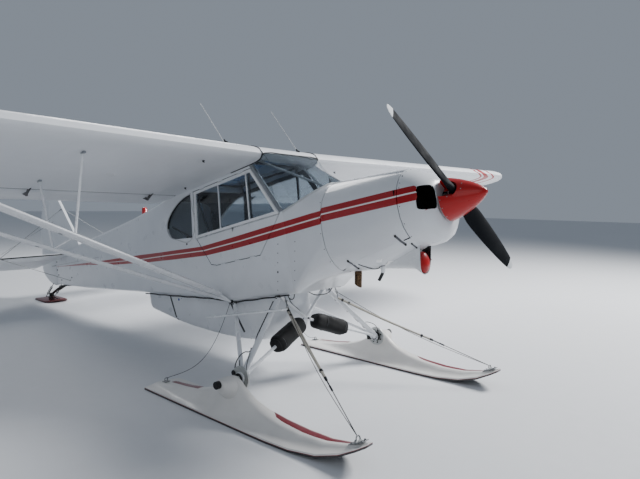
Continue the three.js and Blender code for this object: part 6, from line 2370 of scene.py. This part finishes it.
@dataclass
class Skis:
    """Main skis with their fittings, and the cords and cables that hold them."""

    shop: Workshop
    centre_y: float = 938
    cord_top: Point = (8, 326, -1232)
    cord_low: Point = (13, 330, -1290)
    plate_degrees: float = -24
    clamp_shares: Pair = (0.63, 0.69)
    boss: tuple[Row, ...] = (
        (958, 100, 34, -150), (1000, 90, 34, -120), (1032, 74, 32, -90), (1052, 54, 28, -62),
        (1062, 34, 24, -34),
    )

    def ground(self, point: Point) -> Vector:
        """Turns an airframe point into ground millimetres."""
        return GROUND.inverted() @ AIRFRAME @ Vector(point)

    def build(self) -> None:
        """Dresses the skis and adds tip plates, boots and rigging."""
        for tag, side in SIDES:
            self.shop.dress(f"ski_{tag}", SKI_LEFT if side > 0 else SKI_RIGHT, Slot.SKI, 62)
            self.metalwork(tag, side)
            self.front_cords(tag, side)
            self.rear_cable(tag, side)

    def metalwork(self, tag: str, side: int) -> None:
        """Adds tip plate, shackle, rear eye and the rubber boots at the pivot.

        Args:
            tag: left or right.
            side: 1 for left, -1 for right.
        """
        y = side * self.centre_y
        bm = bmesh.new()
        turn = Matrix.Rotation(math.radians(self.plate_degrees), 4, "Y")
        add_block(bm, (1478, y, 150), (120, 62, 5), 2, turn)
        for x, z in ((1442, 137), (1512, 168)):
            for dy in (-20, 20):
                add_rod(bm, (x, y + dy, z - 4), (x - 2, y + dy, z + 7), 6, 8)
        shackle = [(1478, -16, 152), (1474, -17, 176), (1470, 0, 188), (1474, 17, 176), (1478, 16, 152)]
        add_bend(bm, [(x, y + dy, z) for x, dy, z in shackle], 4.5)
        add_rod(bm, (1478, y - 26, 158), (1478, y + 26, 158), 5, 10)
        add_block(bm, (-500, y, 46), (60, 46, 5), 2, Matrix.Rotation(math.radians(-6), 4, "Y"))
        eye = [(-500, -13, 46), (-502, -13, 64), (-503, 0, 72), (-502, 13, 64), (-500, 13, 46)]
        add_bend(bm, [(x, y + dy, z) for x, dy, z in eye], 4)
        finish_piece(f"ski_fittings_{tag}", bm, ZINC_STEEL, f"ski_{tag}", GROUND)
        boot = bmesh.new()
        axle = self.ground((AXLE_X, 0, AXLE_Z))
        profile = [(0, 22), (0, 38), (5, 40), (9, 30), (12, 22)]
        add_turned(boot, profile, (axle.x, side * 892, axle.z), (axle.x, side * 872, axle.z), 28)
        finish_piece(f"ski_pivot_boot_{tag}", boot, RUBBER_AND_SHADE, f"ski_{tag}", GROUND)
        boss = bmesh.new()
        rings = []
        for out, wide, top, low in self.boss:
            middle, half = (top + low) / 2, (top - low) / 2
            ring = []
            for angle in angles(28):
                ring.append(
                    (axle.x + wide * math.cos(angle), side * out, axle.z + middle + half * math.sin(angle))
                )
            rings.append(ring)
        add_skin(boss, rings)
        finish_piece(
            f"ski_boss_{tag}", boss, SKI_LEFT if side > 0 else SKI_RIGHT, f"ski_{tag}", GROUND, 60
        )

    def front_cords(self, tag: str, side: int) -> None:
        """Runs the doubled bungee, its clamp, the cable to the tip and the slack check cable.

        Args:
            tag: left or right.
            side: 1 for left, -1 for right.
        """
        top = self.ground((self.cord_low[0], side * self.cord_low[1], self.cord_low[2]))
        hook = self.ground((self.cord_top[0], side * self.cord_top[1], self.cord_top[2]))
        end = Vector((1470, side * self.centre_y, 182))
        line = (end - top).normalized()
        across = line.cross(Vector((0, 0, 1))).normalized() * 9
        clamp, clamp_end = (top.lerp(end, share) for share in self.clamp_shares)
        bungee = bmesh.new()
        for sign in (-1, 1):
            points = []
            for t in shares(10):
                spread = across * sign * (0.35 + 0.65 * math.sin(math.pi * min(t * 1.2 + 0.1, 1.0)))
                points.append(top.lerp(clamp, t) + spread + Vector((0, 0, -10 * math.sin(math.pi * t))))
            add_bend(bungee, points, 8)
        hang_between(f"ski_bungee_{tag}", bungee, BUNGEE)
        cable = bmesh.new()
        add_bend(cable, [clamp_end, clamp_end.lerp(end, 0.5), end], 3.2)
        droop = Vector((-14, side * 10, -46))
        slack = [hook.lerp(end, t) + droop * math.sin(math.pi * t) for t in shares(12)]
        add_bend(cable, slack, 2.4)
        hang_between(f"ski_front_cable_{tag}", cable, WIRE_ROPE)
        metal = bmesh.new()
        add_rod(metal, clamp - line * 12, clamp + line * 16, 12, 14, 9)
        add_rod(metal, clamp + line * 16, clamp_end - line * 8, 5, 10)
        add_rod(metal, clamp_end - line * 10, clamp_end + line * 34, 7, 12)
        for t in (0.05, 0.12, 0.9):
            spot, sag = top.lerp(clamp, t), Vector((0, 0, 9 * math.sin(math.pi * t)))
            add_rod(metal, spot - line * 9 - sag, spot + line * 9 - sag, 14, 12)
        hang_between(f"ski_clamps_{tag}", metal, DARK_STEEL)
        link = bmesh.new()
        bracket = self.ground((0, side * 326, -1196))
        add_bend(link, [bracket, hook, top], 5)
        add_bend(link, [hook + Vector(step) for step in ((0, -12, 6), (8, 0, -12), (0, 12, 6))], 4)
        finish_piece(f"cord_link_{tag}", link, ZINC_STEEL, "airframe", GROUND)

    def rear_cable(self, tag: str, side: int) -> None:
        """Hangs the thin slack check cable from the strut fitting to the ski's tail.

        Args:
            tag: left or right.
            side: 1 for left, -1 for right.
        """
        top = self.ground((-676, side * 350, -1196))
        end = Vector((-503, side * self.centre_y, 70))
        points = []
        for t in shares(16):
            sag = Vector((60, 0, -190)) * math.sin(math.pi * t) * (1 - 0.3 * t)
            points.append(top.lerp(end, t) + sag)
        bm = bmesh.new()
        add_bend(bm, points, 2.2)
        hang_between(f"ski_rear_cable_{tag}", bm, WIRE_ROPE)


@dataclass
class TailSki:
    """Tail spring, swivel and small ski."""

    shop: Workshop
    pivot_x: float = -4990
    spring_top: Point = (-4760, 62, 292)
    spring_turns: int = 9
    coil_radius: float = 13
    coil_steps: int = 12

    def build(self) -> None:
        """Dresses the ski and adds leaf clamps, swivel horns and steering springs."""
        self.shop.dress("tail_spring", SPRING_LEAF, Slot.SPRING, 40, 2, long_edge(30))
        self.shop.dress("tail_ski", TAIL_SKI_PAINT, Slot.TAIL_SKI, 40, 3, long_edge(25))
        bm = bmesh.new()
        for x, z in ((-4700, -640), (-4840, -640)):
            add_block(bm, (x, 0, z - 6), (26, 56, 30), 4)
            for y in (-22, 22):
                add_rod(bm, (x, y, z - 26), (x, y, z + 4), 5, 8)
        for dz in (16, 30):
            add_block(
                bm, (-4960 + dz, 0, -664 - dz * 0.5), (300 - dz * 4, 40, 6), 2,
                Matrix.Rotation(math.radians(-10), 4, "Y")
            )
        finish_piece("tail_spring_clamps", bm, SPRING_LEAF)
        horn = bmesh.new()
        x = self.pivot_x
        add_turned(horn, [(0, 30), (0, 46), (8, 48), (14, 40), (14, 22)], (x, 0, 40), (x, 0, 80), 28)
        for side in (-1, 1):
            add_block(horn, (x - 40, side * 44, 58), (16, 58, 6), 2, Matrix.Rotation(side * 0.5, 4, "Z"))
            for ahead in (60, 120):
                add_rod(horn, (x + ahead, side * 60, 24), (x + ahead, side * 60, 36), 8, 8)
            add_bend(horn, [(x + 20, side * 30, 52), (x + 80, side * 34, 38), (x + 170, side * 30, 32)], 7)
        finish_piece("tail_ski_fittings", horn, DARK_STEEL, "tail_ski", GROUND)
        for (tag, side), finish in zip(SIDES, (DARK_STEEL, BLACK_ENAMEL)):
            self.steering_spring(tag, side, finish)

    def steering_spring(self, tag: str, side: int, finish: Finish) -> None:
        """Hangs a coil spring with its end links from the sternpost to the ski's horn.

        Args:
            tag: left or right.
            side: 1 for left, -1 for right.
            finish: bright or black steel.
        """
        top = Vector((self.spring_top[0], side * self.spring_top[1], self.spring_top[2]))
        low = Vector((self.pivot_x - 36, side * 68, 62))
        down = (low - top).normalized()
        across = down.cross(Vector((0, 1, 0))).normalized()
        third = down.cross(across)
        coil_start, coil_end = top.lerp(low, 0.25), top.lerp(low, 0.8)
        steps = self.spring_turns * self.coil_steps
        points = []
        for step in range(steps + 1):
            angle = math.tau * step / self.coil_steps
            out = across * math.cos(angle) + third * math.sin(angle)
            points.append(coil_start.lerp(coil_end, step / steps) + out * self.coil_radius)
        bm = bmesh.new()
        add_bend(bm, points, 4.2, sides=1)
        for link in ((top, coil_start), (coil_end, low)):
            add_bend(bm, link, 4.5)
        hang_between(f"steering_spring_{tag}", bm, finish)


@dataclass
class TopGear:
    """Antennas and the beacon on the fuselage's back."""

    shop: Workshop
    whip_lean: Point = (-0.49, 0, 0.87)
    foot_profile: tuple[Pair, ...] = ((-2, 17), (4, 16), (8, 9), (36, 6), (38, 0))
    lens_profile: tuple[Pair, ...] = ((-6, 33), (20, 33), (96, 30), (112, 23), (119, 10), (120, 0))
    beacon_axis: tuple[Point, Point] = ((-2440, 0, -78), (-2440, 0, 80))

    def build(self) -> None:
        """Dresses both whips and adds their feet and the beacon."""
        for tag, _ in SIDES:
            self.shop.dress(f"antenna_{tag}", PALE_SEAL, Slot.TRIM, 50)
        bm = bmesh.new()
        skin = Skin(self.shop.frame, ("roof", "skylight", "wing_right", "wing_left"))
        for x, y in ((-66, 170), (-137, -600)):
            spot = skin.above(x, y)
            if spot:
                add_turned(bm, self.foot_profile, spot[0], spot[0] + Vector(self.whip_lean) * 10, 20)
        finish_piece("antenna_feet", bm, RUBBER_AND_SHADE)
        beacon = bmesh.new()
        add_turned(beacon, self.lens_profile, *self.beacon_axis, 32)
        finish_piece("beacon", beacon, BEACON_LENS)
        foot = bmesh.new()
        add_turned(foot, [(-14, 50), (-4, 48), (2, 40), (2, 30)], *self.beacon_axis, 32)
        finish_piece("beacon_foot", foot, TUBE_ENAMEL)


@dataclass
class Studio:
    """Pale floor, soft light and the camera where the photograph was taken."""

    eye: Point = (4.9985, -3.375, 1.542)
    yaw: float = 130.71
    pitch: float = -3.97
    roll: float = 0.98
    focal_share: float = 529.3 / 640
    sensor_width: float = 36
    sky: str = "C6D2E2"
    sky_strength: float = 0.42
    floor_half: float = 60000
    lights: tuple[tuple[str, Point, Point, float, float], ...] = (
        ("key", (6.0, 9.0, 9.0), (0, 0, 1.2), 4.0, 2900.0),
        ("fill", (9.0, -9.0, 6.0), (0.5, 0, 1.0), 8.0, 190.0),
        ("rim", (-8.0, 5.0, 8.0), (0, 0, 1.0), 6.0, 500.0),
    )

    def camera(self) -> None:
        """Sets the camera by its solved place and turn."""
        yaw, pitch, roll = (math.radians(v) for v in (self.yaw, self.pitch, self.roll))
        ahead = Vector((math.cos(pitch) * math.cos(yaw), math.cos(pitch) * math.sin(yaw), math.sin(pitch)))
        right = ahead.cross(Vector((0, 0, 1))).normalized()
        upward = right.cross(ahead)
        turned_right = right * math.cos(roll) + upward * math.sin(roll)
        turned_up = upward * math.cos(roll) - right * math.sin(roll)
        data = bpy.data.cameras.new("view")
        data.sensor_fit = "HORIZONTAL"
        data.sensor_width = self.sensor_width
        data.lens = self.sensor_width * self.focal_share
        data.clip_end = 200
        view = bpy.data.objects.new("view", data)
        rotation = Matrix((turned_right, turned_up, -ahead)).transposed()
        view.matrix_world = Matrix.Translation(self.eye) @ rotation.to_4x4()
        bpy.context.scene.collection.objects.link(view)
        bpy.context.scene.camera = view

    def build(self) -> None:
        """Lays the floor and hangs the lights."""
        bm = bmesh.new()
        bmesh.ops.create_grid(bm, x_segments=2, y_segments=2, size=self.floor_half)
        mesh = bpy.data.meshes.new("floor")
        bm.transform(MM)
        bm.to_mesh(mesh)
        bm.free()
        floor = bpy.data.objects.new("floor", mesh)
        mesh.materials.append(STUDIO_FLOOR.material())
        bpy.context.scene.collection.objects.link(floor)
        world = bpy.data.worlds.new("soft_light")
        world.use_nodes = True
        back = world.node_tree.nodes["Background"]
        back.inputs[0].default_value = linear(self.sky)
        back.inputs[1].default_value = self.sky_strength
        bpy.context.scene.world = world
        for name, place, aim, size, power in self.lights:
            light = bpy.data.lights.new(name, "AREA")
            light.size = size
            light.energy = power
            holder = bpy.data.objects.new(name, light)
            turn = (Vector(aim) - Vector(place)).to_track_quat("-Z", "Y").to_matrix().to_4x4()
            holder.matrix_world = Matrix.Translation(place) @ turn
            bpy.context.scene.collection.objects.link(holder)


def main() -> None:
    """Builds the camera, the sub-assemblies in order and the studio."""
    logging.basicConfig(level=logging.INFO, format="%(message)s")
    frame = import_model()
    studio = Studio()
    studio.camera()
    shop = Workshop(frame)
    NoseAndCowls(shop).build()
    PropellerAndSpinner().build()
    CabinShell(shop).build()
    Interior(shop).build()
    WingSet(shop).build()
    TailGroup(shop).build()
    Gear(shop).build()
    BellyPod(shop).build()
    Skis(shop).build()
    TailSki(shop).build()
    TopGear(shop).build()
    studio.build()


if __name__ == "__main__":
    main()
